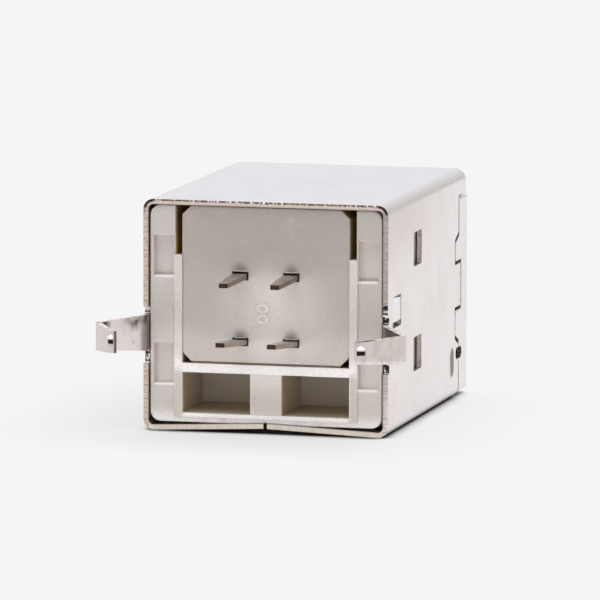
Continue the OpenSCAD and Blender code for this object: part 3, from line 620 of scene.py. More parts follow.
@dataclass(frozen=True)
class MouldedPolyester:
    """White glass-filled polyester, injection moulded: matte, slightly mottled, faintly translucent."""

    name: str
    low: str
    high: str
    mottle: str
    foot_light: str = "ebe5df"
    pale: str = "f1ece8"
    pale_high: str = "d8d1cb"
    toned: str = "cbc3bd"
    recess: str = "d7cfca"
    ledge_highlight: str = "fbf6f1"
    lip: str = "efe8e2"
    latch: str = "f4f0ec"
    shaded: str = "b9b0a8"
    unlit: str = "3a332c"
    deep_near: str = "b39f7a"
    deep_far: str = "bfb3a3"
    deep_floor: str = "c8bca9"
    channel: str = "b39a62"
    rise_mm: Span = (3.0, 11.0)
    shade_across_mm: Span = (-9.0, -8.0)
    foot_light_mm: Span = (1.2, 0.5)
    web_half_mm: float = 0.78
    web_mm: Span = (1.5, 2.84)
    web_slack_mm: float = 0.02
    web_rear_mm: Span = (0.3, 0.2)
    web_share: float = 0.5
    pale_to_mm: float = -1.0
    pale_up_mm: Span = (3.0, 4.0)
    beside_out_mm: Span = (4.0, 4.2)
    beside_down_mm: Span = (3.25, 2.65)
    recess_mm: Span = (0.13, 0.8)
    ledges_mm: tuple[float, float] = (7.44, 2.26)
    ledge_out_mm: Span = (5.5, 5.4)
    lip_mm: float = 0.17
    latch_out_mm: float = 5.7
    latch_end_mm: float = 2.9
    side_mm: Span = (5.6, 5.64)
    stake_from_mm: float = 12.0
    stake_below_mm: float = 2.9
    pocket_mm: Span = (0.4, 3.6)
    channel_from_mm: float = 8.3
    deep_mm: Span = (0.12, 0.5)
    deep_end_mm: float = 4.9
    deep_half_mm: float = 4.47
    mottle_mm: float = 0.8
    mottled: Span = (0.5, 0.8)
    mottled_share: float = 0.6
    upward: Span = (0.5, 0.8)
    speck_mm: float = 0.085
    specked: Span = (0.3, 0.7)
    speck_tones: Span = (0.91, 1.05)
    edge_mm: float = 0.09
    grain_mm: float = 0.09
    relief_mm: float = 0.01
    relief: float = 0.3
    roughness: float = 0.4
    ior: float = 1.55
    soak: float = 0.7
    soak_mm: float = 0.25
    soak_tint: Triple = (1.0, 0.8, 0.55)

    def material(self, floor_mm: float) -> bpy.types.Material:
        """Makes the moulding's material.

        Args:
            floor_mm: Height of the resting plane in the part's frame.

        Returns:
            The material.
        """
        s = Skin(self.name, floor_mm)
        upward = s.add("MapRange", {0: s.facing_z, (1, 2): self.upward})
        skin = self.marks(s, self.body(s))
        faced = self.lighten_rim(s, skin)
        inset = self.panels(s, faced, upward)
        sided = self.sides(s, inset)
        tinted = self.depths(s, sided, upward)
        # The glass fibres show as fine specks, drawn about twice as coarse as they are.
        specks = s.add("TexNoise", {"Vector": s.place, "Scale": 1 / self.speck_mm, "Detail": 3.0})
        speck = s.add("MapRange", {0: specks, (1, 2): self.specked, (3, 4): self.speck_tones})
        colour = s.add("VectorMath", {0: tinted, "Scale": speck}, operation="SCALE")
        # The grain of the mould is drawn about twice as coarse as it is, so that it shows.
        grain = s.add("TexNoise", {"Vector": s.place, "Scale": 1 / self.grain_mm, "Detail": 2.0})
        rounded = s.add("Bevel", {"Radius": self.edge_mm * MM}, samples=EDGE_SAMPLES)
        bump = s.add("Bump", {"Strength": self.relief, "Distance": self.relief_mm * MM, "Height": grain,
                              "Normal": rounded})
        # A little light soaks in and comes out of nearby edges and gaps.
        return s.close({"Base Color": colour, "Roughness": self.roughness, "IOR": self.ior, "Normal": bump,
                        "Subsurface Weight": self.soak, "Subsurface Radius": self.soak_tint,
                        "Subsurface Scale": self.soak_mm * MM})

    def body(self, s: Skin) -> Node:
        """Adds the plain skin, with painted shade that darkens it toward the top, and on the housing toward
        the right too.

        Args:
            s: The material that is being made.

        Returns:
            The node that mixes the colour.
        """
        rise = s.add("MapRange", {0: s.z, (1, 2): self.rise_mm})
        sideways = s.add("MapRange", {0: s.x, (1, 2): self.shade_across_mm})
        shade_share = s.add("Math", {0: rise, 1: sideways}, operation="MULTIPLY")
        middle = s.add("Mix", {0: shade_share, 6: self.low, 7: self.high}, data_type="RGBA")
        # Near the floor the skin is painted paler: painted light from the floor.
        bottom = s.add("MapRange", {0: s.z, (1, 2): self.foot_light_mm}, **SMOOTH)
        footed = s.add("Mix", {0: bottom, 6: middle, 7: self.foot_light}, data_type="RGBA")
        clouds = s.add("TexNoise", {"Vector": s.place, "Scale": 1 / self.mottle_mm, "Detail": 4.0})
        cloudy = s.add("MapRange", {0: clouds, (1, 2): self.mottled, 4: self.mottled_share}, **SMOOTH)
        return s.add("Mix", {0: cloudy, 6: footed, 7: self.mottle}, data_type="RGBA")

    def marks(self, s: Skin, skin: Node) -> Node:
        """Adds marks that only this moulding has: a plain one has none.

        Args:
            s: The material that is being made; a plain moulding does not use it.
            skin: The node that mixes the plain skin.

        Returns:
            The node that mixes the colour.
        """
        return skin

    def lighten_rim(self, s: Skin, skin: Node) -> Node:
        """Adds the rim and the web, painted paler than the rear face.

        Args:
            s: The material that is being made.
            skin: The node that mixes the skin so far.

        Returns:
            The node that mixes the colour.
        """
        # The web between the pockets is painted as pale as the bridge above it, fading out downward.
        narrow = s.add("Math", {0: s.aside, 1: self.web_half_mm}, operation="LESS_THAN")
        fading = s.add("MapRange", {0: s.z, (1, 2): self.web_mm}, **SMOOTH)
        below = s.add("Math", {0: s.z, 1: self.web_mm[1] + self.web_slack_mm}, operation="LESS_THAN")
        strip = s.add("Math", {0: narrow, 1: below}, operation="MULTIPLY")
        rear = s.add("MapRange", {0: s.y, (1, 2): self.web_rear_mm, 4: self.web_share})
        webbed = s.add("Math", {0: strip, 1: fading}, operation="MULTIPLY")
        web = s.add("Math", {0: webbed, 1: rear}, operation="MULTIPLY")
        spread = s.add("Mix", {0: web, 6: skin, 7: self.pale}, data_type="RGBA")
        # The rim stands proud of the rear face and is painted paler, the bridge low down paler than the
        # strips higher up.
        proud = s.add("Math", {0: s.y, 1: self.pale_to_mm}, operation="LESS_THAN")
        height = s.add("MapRange", {0: s.z, (1, 2): self.pale_up_mm}, **SMOOTH)
        rim_tone = s.add("Mix", {0: height, 6: self.pale, 7: self.pale_high}, data_type="RGBA")
        # Beside the pockets, low down, the rim is painted darker again.
        outer_edge = s.add("MapRange", {0: s.aside, (1, 2): self.beside_out_mm})
        under = s.add("MapRange", {0: s.z, (1, 2): self.beside_down_mm}, **SMOOTH)
        lateral = s.add("Math", {0: outer_edge, 1: under}, operation="MULTIPLY")
        darkened = s.add("Mix", {0: lateral, 6: rim_tone, 7: self.toned}, data_type="RGBA")
        return s.add("Mix", {0: proud, 6: spread, 7: darkened}, data_type="RGBA")

    def panels(self, s: Skin, skin: Node, upward: Node) -> Node:
        """Adds the recessed panels, painted a little paler than the rear face.

        Args:
            s: The material that is being made.
            skin: The node that mixes the skin so far.
            upward: Share of the faces that look up.

        Returns:
            The node that mixes the colour.
        """
        sunk_from_mm, sunk_to_mm = self.recess_mm
        sunk = s.add("Math", {0: s.y, 1: sunk_from_mm}, operation="GREATER_THAN")
        sunk_less = s.add("Math", {0: s.y, 1: sunk_to_mm}, operation="LESS_THAN")
        outward = s.add("Math", {0: s.aside, 1: self.deep_half_mm}, operation="GREATER_THAN")
        sunken = s.add("Math", {0: sunk, 1: sunk_less}, operation="MULTIPLY")
        panel = s.add("Math", {0: sunken, 1: outward}, operation="MULTIPLY")
        # Faces in them that look up are painted near white: a painted highlight from the light above.
        shelf = s.add("Mix", {0: upward, 6: self.recess, 7: self.ledge_highlight}, data_type="RGBA")
        # Their lower lips catch the light.
        lipped = skin
        short = s.add("MapRange", {0: s.aside, (1, 2): self.ledge_out_mm})
        wide = s.add("Math", {0: short, 1: outward}, operation="MULTIPLY")
        for level in self.ledges_mm:
            rising = s.add("MapRange", {0: s.z, 1: level - self.lip_mm, 2: level}, **SMOOTH)
            under_it = s.add("Math", {0: s.z, 1: level}, operation="LESS_THAN")
            edge = s.add("Math", {0: rising, 1: under_it}, operation="MULTIPLY")
            shining = s.add("Math", {0: edge, 1: wide}, operation="MULTIPLY")
            lipped = s.add("Mix", {0: shining, 6: lipped, 7: self.lip}, data_type="RGBA")
        return s.add("Mix", {0: panel, 6: lipped, 7: shelf}, data_type="RGBA")

    def sides(self, s: Skin, skin: Node) -> Node:
        """Adds the latch barbs, as bright as the rim, and the sides that lie unlit behind the sheet.

        Args:
            s: The material that is being made.
            skin: The node that mixes the skin so far.

        Returns:
            The node that mixes the colour.
        """
        outer = s.add("Math", {0: s.aside, 1: self.latch_out_mm}, operation="GREATER_THAN")
        barbed = s.add("Mix", {0: outer, 6: skin, 7: self.latch}, data_type="RGBA")
        side = s.add("MapRange", {0: s.aside, (1, 2): self.side_mm})
        past = s.add("Math", {0: s.y, 1: self.latch_end_mm}, operation="GREATER_THAN")
        hidden = s.add("Math", {0: side, 1: past}, operation="MULTIPLY")
        frontward = s.add("Math", {0: s.y, 1: self.stake_from_mm}, operation="GREATER_THAN")
        lower = s.add("Math", {0: s.z, 1: self.stake_below_mm}, operation="LESS_THAN")
        staked = s.add("Math", {0: frontward, 1: lower}, operation="MULTIPLY")
        dim = s.add("Mix", {0: staked, 6: self.shaded, 7: self.unlit}, data_type="RGBA")
        return s.add("Mix", {0: hidden, 6: barbed, 7: dim}, data_type="RGBA")

    def depths(self, s: Skin, skin: Node, upward: Node) -> Node:
        """Adds the pockets and gaps: light that has passed through their walls comes out browner.

        Args:
            s: The material that is being made.
            skin: The node that mixes the skin so far.
            upward: Share of the faces that look up.

        Returns:
            The node that mixes the colour.
        """
        fade = s.add("MapRange", {0: s.y, (1, 2): self.pocket_mm}, **SMOOTH)
        pocket = s.add("Mix", {0: fade, 6: self.deep_near, 7: self.deep_far}, data_type="RGBA")
        floored = s.add("Mix", {0: upward, 6: pocket, 7: self.deep_floor}, data_type="RGBA")
        slit = s.add("Math", {0: s.z, 1: self.channel_from_mm}, operation="GREATER_THAN")
        brown = s.add("Mix", {0: slit, 6: floored, 7: self.channel}, data_type="RGBA")
        depth = s.add("MapRange", {0: s.y, (1, 2): self.deep_mm}, **SMOOTH)
        behind = s.add("Math", {0: s.y, 1: self.deep_end_mm}, operation="LESS_THAN")
        within = s.add("Math", {0: s.aside, 1: self.deep_half_mm}, operation="LESS_THAN")
        inner = s.add("Math", {0: behind, 1: within}, operation="MULTIPLY")
        deep = s.add("Math", {0: depth, 1: inner}, operation="MULTIPLY")
        return s.add("Mix", {0: deep, 6: skin, 7: brown}, data_type="RGBA")


@dataclass(frozen=True)
class InsertPolyester(MouldedPolyester):
    """The insert's polyester: paler in its middle, with the pins' shadows painted over their slots."""

    pale_middle: str = "e6ddd6"
    pin_shadow: str = "6f655d"
    pale_middle_at_mm: Triple = (0.4, 0.0, 5.6)
    pale_middle_mm: Span = (3.6, 0.4)
    pale_middle_share: float = 0.8
    slots_mm: tuple[float, float] = (7.78, 4.58)
    slot_aside_mm: float = 1.25
    pin_shadow_size_mm: tuple[float, float] = (0.5, 0.56)
    shadowed: Span = (1.0, 0.1)
    pin_shadow_share: float = 0.62

    def marks(self, s: Skin, skin: Node) -> Node:
        """Adds the pale middle and the painted shadows of the pins over the four slots.

        Args:
            s: The material that is being made.
            skin: The node that mixes the plain skin.

        Returns:
            The node that mixes the colour.
        """
        # The face is painted paler in its middle.
        flat = s.add("CombineXYZ", {0: s.x, 2: s.z})
        away = s.add("VectorMath", {0: flat, 1: self.pale_middle_at_mm}, operation="DISTANCE")
        paler = s.add("MapRange", {0: away, (1, 2): self.pale_middle_mm, 4: self.pale_middle_share}, **SMOOTH)
        colour = s.add("Mix", {0: paler, 6: skin, 7: self.pale_middle}, data_type="RGBA")
        # Over each slot a soft dark patch is painted: the pin's painted shadow.
        mirrored = s.add("CombineXYZ", {0: s.aside, 2: s.z})
        across, up = self.pin_shadow_size_mm
        for level in self.slots_mm:
            slot = (self.slot_aside_mm, 0, level)
            offset = s.add("VectorMath", {0: mirrored, 1: slot}, operation="SUBTRACT")
            spread = s.add("VectorMath", {0: offset, 1: (1 / across, 0, 1 / up)}, operation="MULTIPLY")
            reach = s.add("VectorMath", {0: spread}, operation="LENGTH")
            shadowed = s.add("MapRange", {0: reach, (1, 2): self.shadowed, 4: self.pin_shadow_share}, **SMOOTH)
            colour = s.add("Mix", {0: shadowed, 6: colour, 7: self.pin_shadow}, data_type="RGBA")
        return colour


@dataclass(frozen=True)
class TinnedStrip:
    """Copper-alloy strip, stamped: dull tin on the pins, bare brown ends, gold flash on the blades."""

    name: str
    sheared: str
    tin: str = "cdc4b9"
    tarnish: str = "9b9186"
    bare: str = "4b3d34"
    gold: str = "dcb873"
    gold_from_mm: float = 5.0
    cloud_mm: float = 0.45
    cloudy: Span = (0.4, 0.7)
    beside: Span = (0.6, 0.85)
    sheared_share: float = 0.8
    cut: Span = (-0.7, -0.9)
    drawn_mm: float = 0.07
    drawn_stretch: float = 0.1
    edge_mm: float = 0.03
    relief_mm: float = 0.01
    relief: float = 0.3
    roughness: float = 0.38
    roughness_wander: float = 0.2

    def material(self, floor_mm: float) -> bpy.types.Material:
        """Makes the contacts' material.

        Args:
            floor_mm: Height of the resting plane in the part's frame.

        Returns:
            The material.
        """
        s = Skin(self.name, floor_mm)
        clouds = s.add("TexNoise", {"Vector": s.place, "Scale": 1 / self.cloud_mm, "Detail": 4.0})
        cloudy = s.add("MapRange", {0: clouds, (1, 2): self.cloudy}, **SMOOTH)
        tin = s.add("Mix", {0: cloudy, 6: self.tin, 7: self.tarnish}, data_type="RGBA")
        # The strip was stamped after plating: its narrow sides have only what tin the die smeared there.
        aslant = s.add("Math", {0: s.facing_x}, operation="ABSOLUTE")
        beside = s.add("MapRange", {0: aslant, (1, 2): self.beside, 4: self.sheared_share}, **SMOOTH)
        sided = s.add("Mix", {0: beside, 6: tin, 7: self.sheared}, data_type="RGBA")
        # The pins were cut off last, so their ends show bare, tarnished copper.
        cut = s.add("MapRange", {0: s.facing_y, (1, 2): self.cut}, **SMOOTH)
        pin = s.add("Mix", {0: cut, 6: sided, 7: self.bare}, data_type="RGBA")
        blade = s.add("Math", {0: s.y, 1: self.gold_from_mm}, operation="GREATER_THAN")
        colour = s.add("Mix", {0: blade, 6: pin, 7: self.gold}, data_type="RGBA")
        # Rolling leaves fine lines along the strip.
        drawn_out = s.add("Mapping", {"Vector": s.place, "Scale": (1, self.drawn_stretch, 1)})
        drawn = s.add("TexNoise", {"Vector": drawn_out, "Scale": 1 / self.drawn_mm, "Detail": 3.0})
        least = self.roughness - self.roughness_wander / 2
        rough = s.add("Math", {0: drawn, 1: self.roughness_wander, 2: least}, operation="MULTIPLY_ADD")
        rounded = s.add("Bevel", {"Radius": self.edge_mm * MM}, samples=EDGE_SAMPLES)
        bump = s.add("Bump", {"Strength": self.relief, "Distance": self.relief_mm * MM, "Height": drawn,
                              "Normal": rounded})
        return s.close({"Base Color": colour, "Metallic": 1.0, "Roughness": rough, "Normal": bump})


@dataclass(frozen=True)
class PaintedPitShade:
    """Near-black rough steel at the bottom of each lance's small pit: painted shade under the bump."""

    painted_dark: str = "1d1613"
    pit_mottle: str = "3a2c25"
    grain_mm: float = 0.06
    relief_mm: float = 0.02
    relief: float = 0.6
    metallic: float = 0.4
    roughness: float = 0.7

    def material(self, floor_mm: float) -> bpy.types.Material:
        """Makes the torn steel's material.

        Args:
            floor_mm: Height of the resting plane in the part's frame.

        Returns:
            The material.
        """
        s = Skin("lance_pit_shade", floor_mm)
        grain = s.add("TexNoise", {"Vector": s.place, "Scale": 1 / self.grain_mm, "Detail": 3.0})
        colour = s.add("Mix", {0: grain, 6: self.painted_dark, 7: self.pit_mottle}, data_type="RGBA")
        bump = s.add("Bump", {"Strength": self.relief, "Distance": self.relief_mm * MM, "Height": grain})
        return s.close({"Base Color": colour, "Metallic": self.metallic, "Roughness": self.roughness,
                        "Normal": bump})


@dataclass(frozen=True)
class PaleSweep:
    """White paper sweep: even and bright to the eye, with the part's contact shadow on it."""

    paper: str = "f6f5f6"
    shadow: str = "15100d"
    contact_mm: float = 1.2
    halo_mm: float = 8.0
    halo: float = 0.25
    uncovered: Span = (0.3, 0.75)
    light_from: Triple = (0.3, 0.68, 0.67)
    shade_from: Triple = (-0.1, 0.7, 0.7)
    samples: int = 16

    def material(self) -> bpy.types.Material:
        """Makes the floor's material.

        Returns:
            The material.
        """
        material = bpy.data.materials.new("paper_sweep")
        material.use_nodes = True
        s = Shading(material.node_tree)
        path = s.add("LightPath").outputs
        direct = s.add("Math", {0: path["Is Camera Ray"], 1: path["Is Glossy Ray"]}, operation="MAXIMUM")
        seen = s.add("Math", {0: direct, 1: path["Is Transmission Ray"]}, operation="MAXIMUM")
        # Most light comes from behind and above, so the shadow falls toward the front.
        lean = s.add("CombineXYZ", dict(enumerate(self.light_from)))
        slant = s.add("CombineXYZ", dict(enumerate(self.shade_from)))
        near = {"Distance": self.contact_mm * MM, "Normal": slant}
        wide = {"Distance": self.halo_mm * MM, "Normal": lean}
        close = s.add("AmbientOcclusion", near, samples=self.samples).outputs["AO"]
        around = s.add("AmbientOcclusion", wide, samples=self.samples).outputs["AO"]
        open_share = s.add("MapRange", {0: close, (1, 2): self.uncovered}, **SMOOTH)
        contact = s.add("Mix", {0: open_share, 6: self.shadow, 7: self.paper}, data_type="RGBA")
        soft = s.add("MapRange", {0: around, 3: 1 - self.halo, 4: 1.0})
        lit = s.add("BsdfDiffuse", {"Color": self.paper})
        glow = s.add("Emission", {"Color": contact, "Strength": soft})
        mix = s.add("MixShader", {0: seen, 1: lit, 2: glow})
        s.add("OutputMaterial", {"Surface": mix})
        return material


class PinRow(Enum):
    """The contact nodes, by the row that their pins stand in."""

    UPPER = ("contact_vbus", "contact_data_minus")
    LOWER = ("contact_ground", "contact_data_plus")


class Slot(Enum):
    """The record's material slots by name; no piece here takes its finish from them."""

    SHEET = "plated_sheet"
    INSERT = "insert_plastic"


def add_piece(name: str, bm: bmesh.types.BMesh, material: bpy.types.Material) -> None:
    """Makes a piece of a finished bmesh in millimetres, and fixes it to the part.

    Args:
        name: The piece's name.
        bm: Its shape, which is freed.
        material: Its finish.
    """
    bmesh.ops.remove_doubles(bm, verts=bm.verts, dist=WELD_MM)
    bmesh.ops.recalc_face_normals(bm, faces=bm.faces)
    bmesh.ops.scale(bm, verts=bm.verts, vec=(MM, MM, MM))
    mesh = bpy.data.meshes.new(name)
    bm.to_mesh(mesh)
    bm.free()
    mesh.materials.append(material)
    mesh.shade_smooth()
    mesh.set_sharp_from_angle(angle=SHARP)
    piece = bpy.data.objects.new(name, mesh)
    bpy.context.scene.collection.objects.link(piece)
    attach(piece, "root")
    LOG.info("built %s in %s", name, material.name)


@dataclass
class Socketry:
    """The CAD nodes with their finishes."""

    nodes: dict[str, bpy.types.Object]
    floor_mm: float
    rim_face_mm: float = 0.07
    housing_shade_across_mm: Span = (-4.0, 4.0)

    def dress(self) -> None:
        """Gives every node its material."""
        housing = MouldedPolyester("housing_polyester", low="cdc5be", high="bfb7b0", mottle="c4bcb5",
                                   pale_to_mm=self.rim_face_mm, shade_across_mm=self.housing_shade_across_mm)
        insert = InsertPolyester("insert_polyester", low="cac1ba", high="afa59e", mottle="c0b7b0",
                                 roughness=0.34)
        finishes = {"shield": NickelSheet(), "housing": housing, "insert": insert}
        # The upper row's sheared sides are painted darker and the lower row's paler: painted shade and
        # painted light on one strip.
        strips = {PinRow.UPPER: TinnedStrip("tinned_copper_shaded_upper_row", sheared="766a5e"),
                  PinRow.LOWER: TinnedStrip("tinned_copper_lit_lower_row", sheared="aca297")}
        for row, strip in strips.items():
            finishes.update({name: strip for name in row.value})
        made = {finish: finish.material(self.floor_mm) for finish in dict.fromkeys(finishes.values())}
        for name, finish in finishes.items():
            mesh = self.nodes[name].data
            mesh.materials.clear()
            mesh.materials.append(made[finish])
            LOG.info("dressed %s in %s", name, made[finish].name)


@dataclass
class CavityNumeral:
    """The small raised numeral on the insert's rear face: two rings, one on the other."""

    material: bpy.types.Material
    face_mm: float = 0.1
    proud_mm: float = 0.07
    middle_mm: float = -0.155
    stroke_mm: float = 0.19
    rings_mm: tuple[Triple, Triple] = ((0.03, 0.68, 0.53), (-0.46, 0.64, 0.55))
    bead_sides: int = 10
    steps: int = 36

    def build(self) -> None:
        """Spins a small round bead into each ring, flattens it and sets it in the face."""
        bm = bmesh.new()
        lying = Matrix.Rotation(math.radians(90), 3, "X")
        flatter = self.proud_mm / self.stroke_mm * 2
        for level, width, height in self.rings_mm:
            across, tall = (width - self.stroke_mm) / 2, (height - self.stroke_mm) / 2
            bead = bmesh.ops.create_circle(bm, segments=self.bead_sides, radius=self.stroke_mm / 2)["verts"]
            bmesh.ops.rotate(bm, verts=bead, matrix=lying)
            bmesh.ops.translate(bm, verts=bead, vec=(across, 0, 0))
            before = set(bm.verts) - set(bead)
            loop = list(dict.fromkeys(edge for vert in bead for edge in vert.link_edges))
            bmesh.ops.spin(bm, geom=bead + loop, axis=(0, 0, 1), angle=math.tau, steps=self.steps,
                           use_merge=True)
            ring = [vert for vert in bm.verts if vert not in before]
            bmesh.ops.scale(bm, verts=ring, vec=(1, tall / across, flatter))
            bmesh.ops.rotate(bm, verts=ring, matrix=lying)
            bmesh.ops.translate(bm, verts=ring, vec=(self.middle_mm, self.face_mm, level))
        add_piece("cavity_numeral", bm, self.material)


@dataclass
class SlotLips:
    """The thin lips that the pins raised over their slots when they were pressed into the insert."""

    material: bpy.types.Material
    floor_mm: float
    face_mm: float = 0.1
    aside_mm: float = 1.25
    levels_mm: tuple[float, float] = (7.74, 4.54)
    size_mm: Triple = (0.56, 0.07, 0.05)
    round_mm: float = 0.015

    def build(self) -> None:
        """Sets a small rounded bead over each slot."""
        bm = bmesh.new()
        for side in (-1, 1):
            for level in self.levels_mm:
                before = set(bm.verts)
                bar = bmesh.ops.create_cube(bm, size=1.0)["verts"]
                bmesh.ops.scale(bm, verts=bar, vec=self.size_mm)
                edges = list(dict.fromkeys(edge for vert in bar for edge in vert.link_edges))
                bmesh.ops.bevel(bm, geom=edges, offset=self.round_mm, affect="EDGES", segments=3,
                                profile=0.5, material=-1)
                bead = [vert for vert in bm.verts if vert not in before]
                middle = self.floor_mm + level + self.size_mm[2] / 2
                bmesh.ops.translate(bm, verts=bead, vec=(side * self.aside_mm, self.face_mm, middle))
        add_piece("slot_lips", bm, self.material)


@dataclass
class LancePits:
    """Near-black plates at the bottom of the small opening under the bump on each leg's toe: painted shade.
    """

    material: bpy.types.Material
    tip_mm: tuple[float, float] = (5.775, -5.7)
    run_mm: tuple[float, float] = (-0.4, -0.35)
    middle_mm: float = -0.28
    level_mm: float = -1.07
    stagger_mm: float = 0.07
    size_mm: Triple = (0.48, 0.05, 0.24)
    lip_mm: float = 0.06
    inset_mm: float = -0.03
    hollow_mm: float = 0.02
    facing: float = 0.9

    def build(self) -> None:
        """Sets a small hollowed plate into each opening."""
        turn = math.atan2(self.run_mm[1], self.run_mm[0])
        for name, side in (("lance_pit_right", 1), ("lance_pit_left", -1)):
            bm = bmesh.new()
            plate = bmesh.ops.create_cube(bm, size=1.0)["verts"]
            bmesh.ops.scale(bm, verts=plate, vec=self.size_mm)
            bm.normal_update()
            front = [face for face in bm.faces if face.normal.y > self.facing]
            inner = bmesh.ops.inset_region(bm, faces=front, thickness=self.lip_mm)["faces"]
            hollow = list(dict.fromkeys(vert for face in front for vert in face.verts))
            bmesh.ops.translate(bm, verts=hollow, vec=(0, -self.hollow_mm, 0))
            lips = list(dict.fromkeys(edge for face in inner for edge in face.edges))
            bmesh.ops.bevel(bm, geom=lips, offset=self.hollow_mm / 2, affect="EDGES", segments=2,
                            profile=0.5, material=-1)
            bmesh.ops.translate(bm, verts=bm.verts, vec=(self.middle_mm, self.inset_mm, 0))
            bmesh.ops.rotate(bm, verts=bm.verts, matrix=Matrix.Rotation(turn, 3, "Z"))
            level = self.level_mm - side * self.stagger_mm
            bmesh.ops.translate(bm, verts=bm.verts, vec=(self.tip_mm[0], self.tip_mm[1], level))
            bmesh.ops.scale(bm, verts=bm.verts, vec=(side, 1, 1))
            add_piece(name, bm, self.material)


@dataclass
class GapLightStrip:
    """A thin brown strip in the gap between the insert and the bridge that it sits on: painted light that
    lifts the gap's shade to brown.
    """

    material: bpy.types.Material
    floor_mm: float
    length_mm: float = 7.3
    channel_mm: float = 3.27
    gap_mm: float = 0.11
    sunk_mm: float = 0.01
    behind_mm: float = 0.17
    thick_mm: float = 0.06
    wave_mm: float = 0.03
    wave_length_mm: float = 0.6
    cuts: int = 48

    def build(self) -> None:
        """Cuts a thin bar into short lengths and lets its rear edge wander."""
        bm = bmesh.new()
        bar = bmesh.ops.create_cube(bm, size=1.0)["verts"]
        bar_mm = (self.length_mm, self.thick_mm, self.gap_mm + 2 * self.sunk_mm)
        bmesh.ops.scale(bm, verts=bar, vec=bar_mm)
        long_edges = [edge for edge in bm.edges if edge.calc_length() > self.length_mm / 2]
        bmesh.ops.subdivide_edges(bm, edges=long_edges, cuts=self.cuts)
        for vert in bm.verts:
            if vert.co.y < 0:
                vert.co.y += self.wave_mm * noise.noise(vert.co / self.wave_length_mm)
        level = self.floor_mm + self.channel_mm + self.gap_mm / 2
        bmesh.ops.translate(bm, verts=bm.verts, vec=(0, self.behind_mm + self.thick_mm / 2, level))
        add_piece("gap_light_strip", bm, self.material)


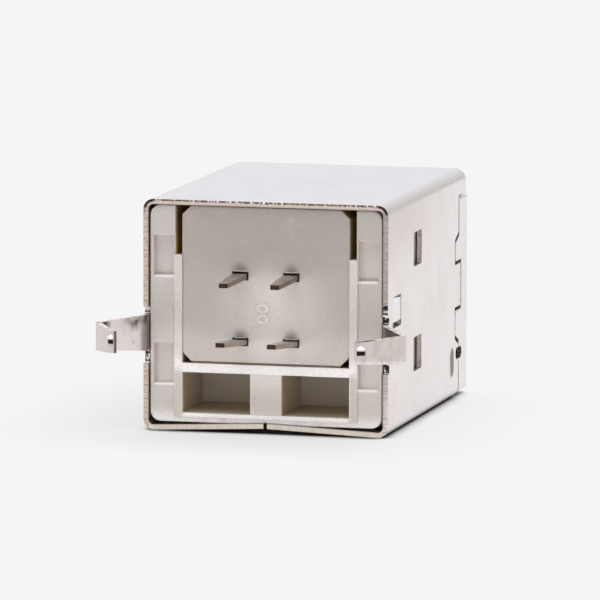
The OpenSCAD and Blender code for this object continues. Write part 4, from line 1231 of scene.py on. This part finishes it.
@dataclass
class Studio:
    """The floor, the light and the camera."""

    floor_mm: float
    floor_size_mm: float = 4000.0
    camera_mm: Triple = (93.95, -365.09, 49.04)
    yaw_deg: float = 14.18
    pitch_deg: float = 7.34
    roll_deg: float = 0.098
    lens_mm: float = 480.0
    sensor_mm: float = 36.0
    clip_mm: float = 10.0
    tent: str = "f8fbff"
    room: str = "5a5550"
    frontward: Span = (-0.15, -0.7)
    below_lamps: Span = (0.8, 0.45)
    over_table: Span = (0.06, 0.2)
    mirrored_share: float = 0.65
    card_mm: Triple = (-2.0, -16.0, 1.6)
    card_size_mm: tuple[float, float] = (60.0, 3.0)
    card_watts: float = 0.0018
    box_mm: Triple = (-20.0, -45.0, 150.0)
    box_size_mm: tuple[float, float] = (120.0, 120.0)
    box_watts: float = 0.1

    def floor(self) -> None:
        """Lays the floor under the part."""
        mesh = bpy.data.meshes.new("floor")
        bm = bmesh.new()
        bmesh.ops.create_grid(bm, x_segments=1, y_segments=1, size=self.floor_size_mm / 2 * MM)
        bmesh.ops.translate(bm, verts=bm.verts, vec=Vector((0, 0, self.floor_mm * MM)))
        bm.to_mesh(mesh)
        bm.free()
        floor = bpy.data.objects.new("floor", mesh)
        bpy.context.scene.collection.objects.link(floor)
        mesh.materials.append(PaleSweep().material())
        floor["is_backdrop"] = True

    def light(self) -> None:
        """Surrounds the part with a white tent that opens to a dimmer room on the camera's side."""
        world = bpy.data.worlds.new("light_tent")
        world.use_nodes = True
        bpy.context.scene.world = world
        s = Shading(world.node_tree)
        way = s.add("SeparateXYZ", {0: s.add("TexCoord").outputs["Generated"]}).outputs
        front = s.add("MapRange", {0: way[1], (1, 2): self.frontward}, **SMOOTH)
        below_lamps = s.add("MapRange", {0: way[2], (1, 2): self.below_lamps}, **SMOOTH)
        unlit = s.add("Math", {0: front, 1: below_lamps}, operation="MULTIPLY")
        # What metal mirrors of the room above the table is partly lit, so that the top stays pale.
        mirrored = s.add("LightPath").outputs["Is Glossy Ray"]
        over_table = s.add("MapRange", {0: way[2], (1, 2): self.over_table, 4: self.mirrored_share},
                           **SMOOTH)
        lit = s.add("Math", {0: mirrored, 1: over_table}, operation="MULTIPLY")
        still_dim = s.add("Math", {0: 1.0, 1: lit}, operation="SUBTRACT")
        dim = s.add("Math", {0: unlit, 1: still_dim}, operation="MULTIPLY")
        tone = s.add("Mix", {0: dim, 6: self.tent, 7: self.room}, data_type="RGBA")
        shader = s.add("Background", {"Color": tone, "Strength": 1.0})
        s.add("OutputWorld", {"Surface": shader})

    def lamps(self) -> None:
        """Stands a bright card low in front of the part and hangs a softbox over it."""
        upright = Matrix.Rotation(math.radians(90), 4, "X")
        card = self.lamp("low_card", self.card_mm, self.card_size_mm, self.card_watts, upright)
        card.visible_camera = False
        card.visible_glossy = False
        box = self.lamp("softbox", self.box_mm, self.box_size_mm, self.box_watts, Matrix.Identity(4))
        box.visible_camera = False

    def lamp(self, name: str, place: Triple, size: tuple[float, float], watts: float,
             turn: Matrix) -> bpy.types.Object:
        """Adds one area lamp.

        Args:
            name: The lamp's name.
            place: Its middle in millimetres, measured from the floor.
            size: Its two sides in millimetres.
            watts: Its power.
            turn: Its turn from facing straight down.

        Returns:
            The lamp.
        """
        data = bpy.data.lights.new(name, "AREA")
        data.shape = "RECTANGLE"
        data.size, data.size_y = [side * MM for side in size]
        data.energy = watts
        lamp = bpy.data.objects.new(name, data)
        bpy.context.scene.collection.objects.link(lamp)
        across, along, up = place
        lamp.matrix_world = Matrix.Translation(Vector((across, along, self.floor_mm + up)) * MM) @ turn
        return lamp

    def camera(self) -> None:
        """Sets the camera where the photograph was taken from."""
        data = bpy.data.cameras.new("camera")
        data.lens = self.lens_mm
        data.sensor_width = self.sensor_mm
        data.clip_start = self.clip_mm * MM
        camera = bpy.data.objects.new("camera", data)
        bpy.context.scene.collection.objects.link(camera)
        turn = Euler((math.radians(90 - self.pitch_deg), 0, math.radians(self.yaw_deg))).to_matrix()
        turn = turn @ Matrix.Rotation(math.radians(self.roll_deg), 3, "Z")
        camera.matrix_world = Matrix.Translation(Vector(self.camera_mm) * MM) @ turn.to_4x4()
        bpy.context.scene.camera = camera


def main() -> None:
    """Loads the frame, dresses it and sets the studio round it."""
    logging.basicConfig(level=logging.INFO, format="%(message)s")
    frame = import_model()
    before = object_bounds()
    floor_mm = before[0][2] / MM
    bpy.context.scene.view_settings.view_transform = "Standard"
    Socketry(frame["nodes"], floor_mm).dress()
    # The numeral and the slot lips are painted paler than the insert: a painted highlight on their faces.
    numeral = MouldedPolyester("numeral_polyester", low="efe5dc", high="e3d9d0", mottle="e6dcd3")
    raised = numeral.material(floor_mm)
    CavityNumeral(raised).build()
    SlotLips(raised, floor_mm).build()
    LancePits(PaintedPitShade().material(floor_mm)).build()
    # The gap strip is painted brown to stand in for light in the gap's shade.
    flash = MouldedPolyester("gap_light_polyester", low="8f7d66", high="8f7d66", mottle="7d6c56",
                             deep_near="8f7d66")
    GapLightStrip(flash.material(floor_mm), floor_mm).build()
    studio = Studio(floor_mm)
    studio.floor()
    studio.light()
    studio.lamps()
    studio.camera()


if __name__ == "__main__":
    main()
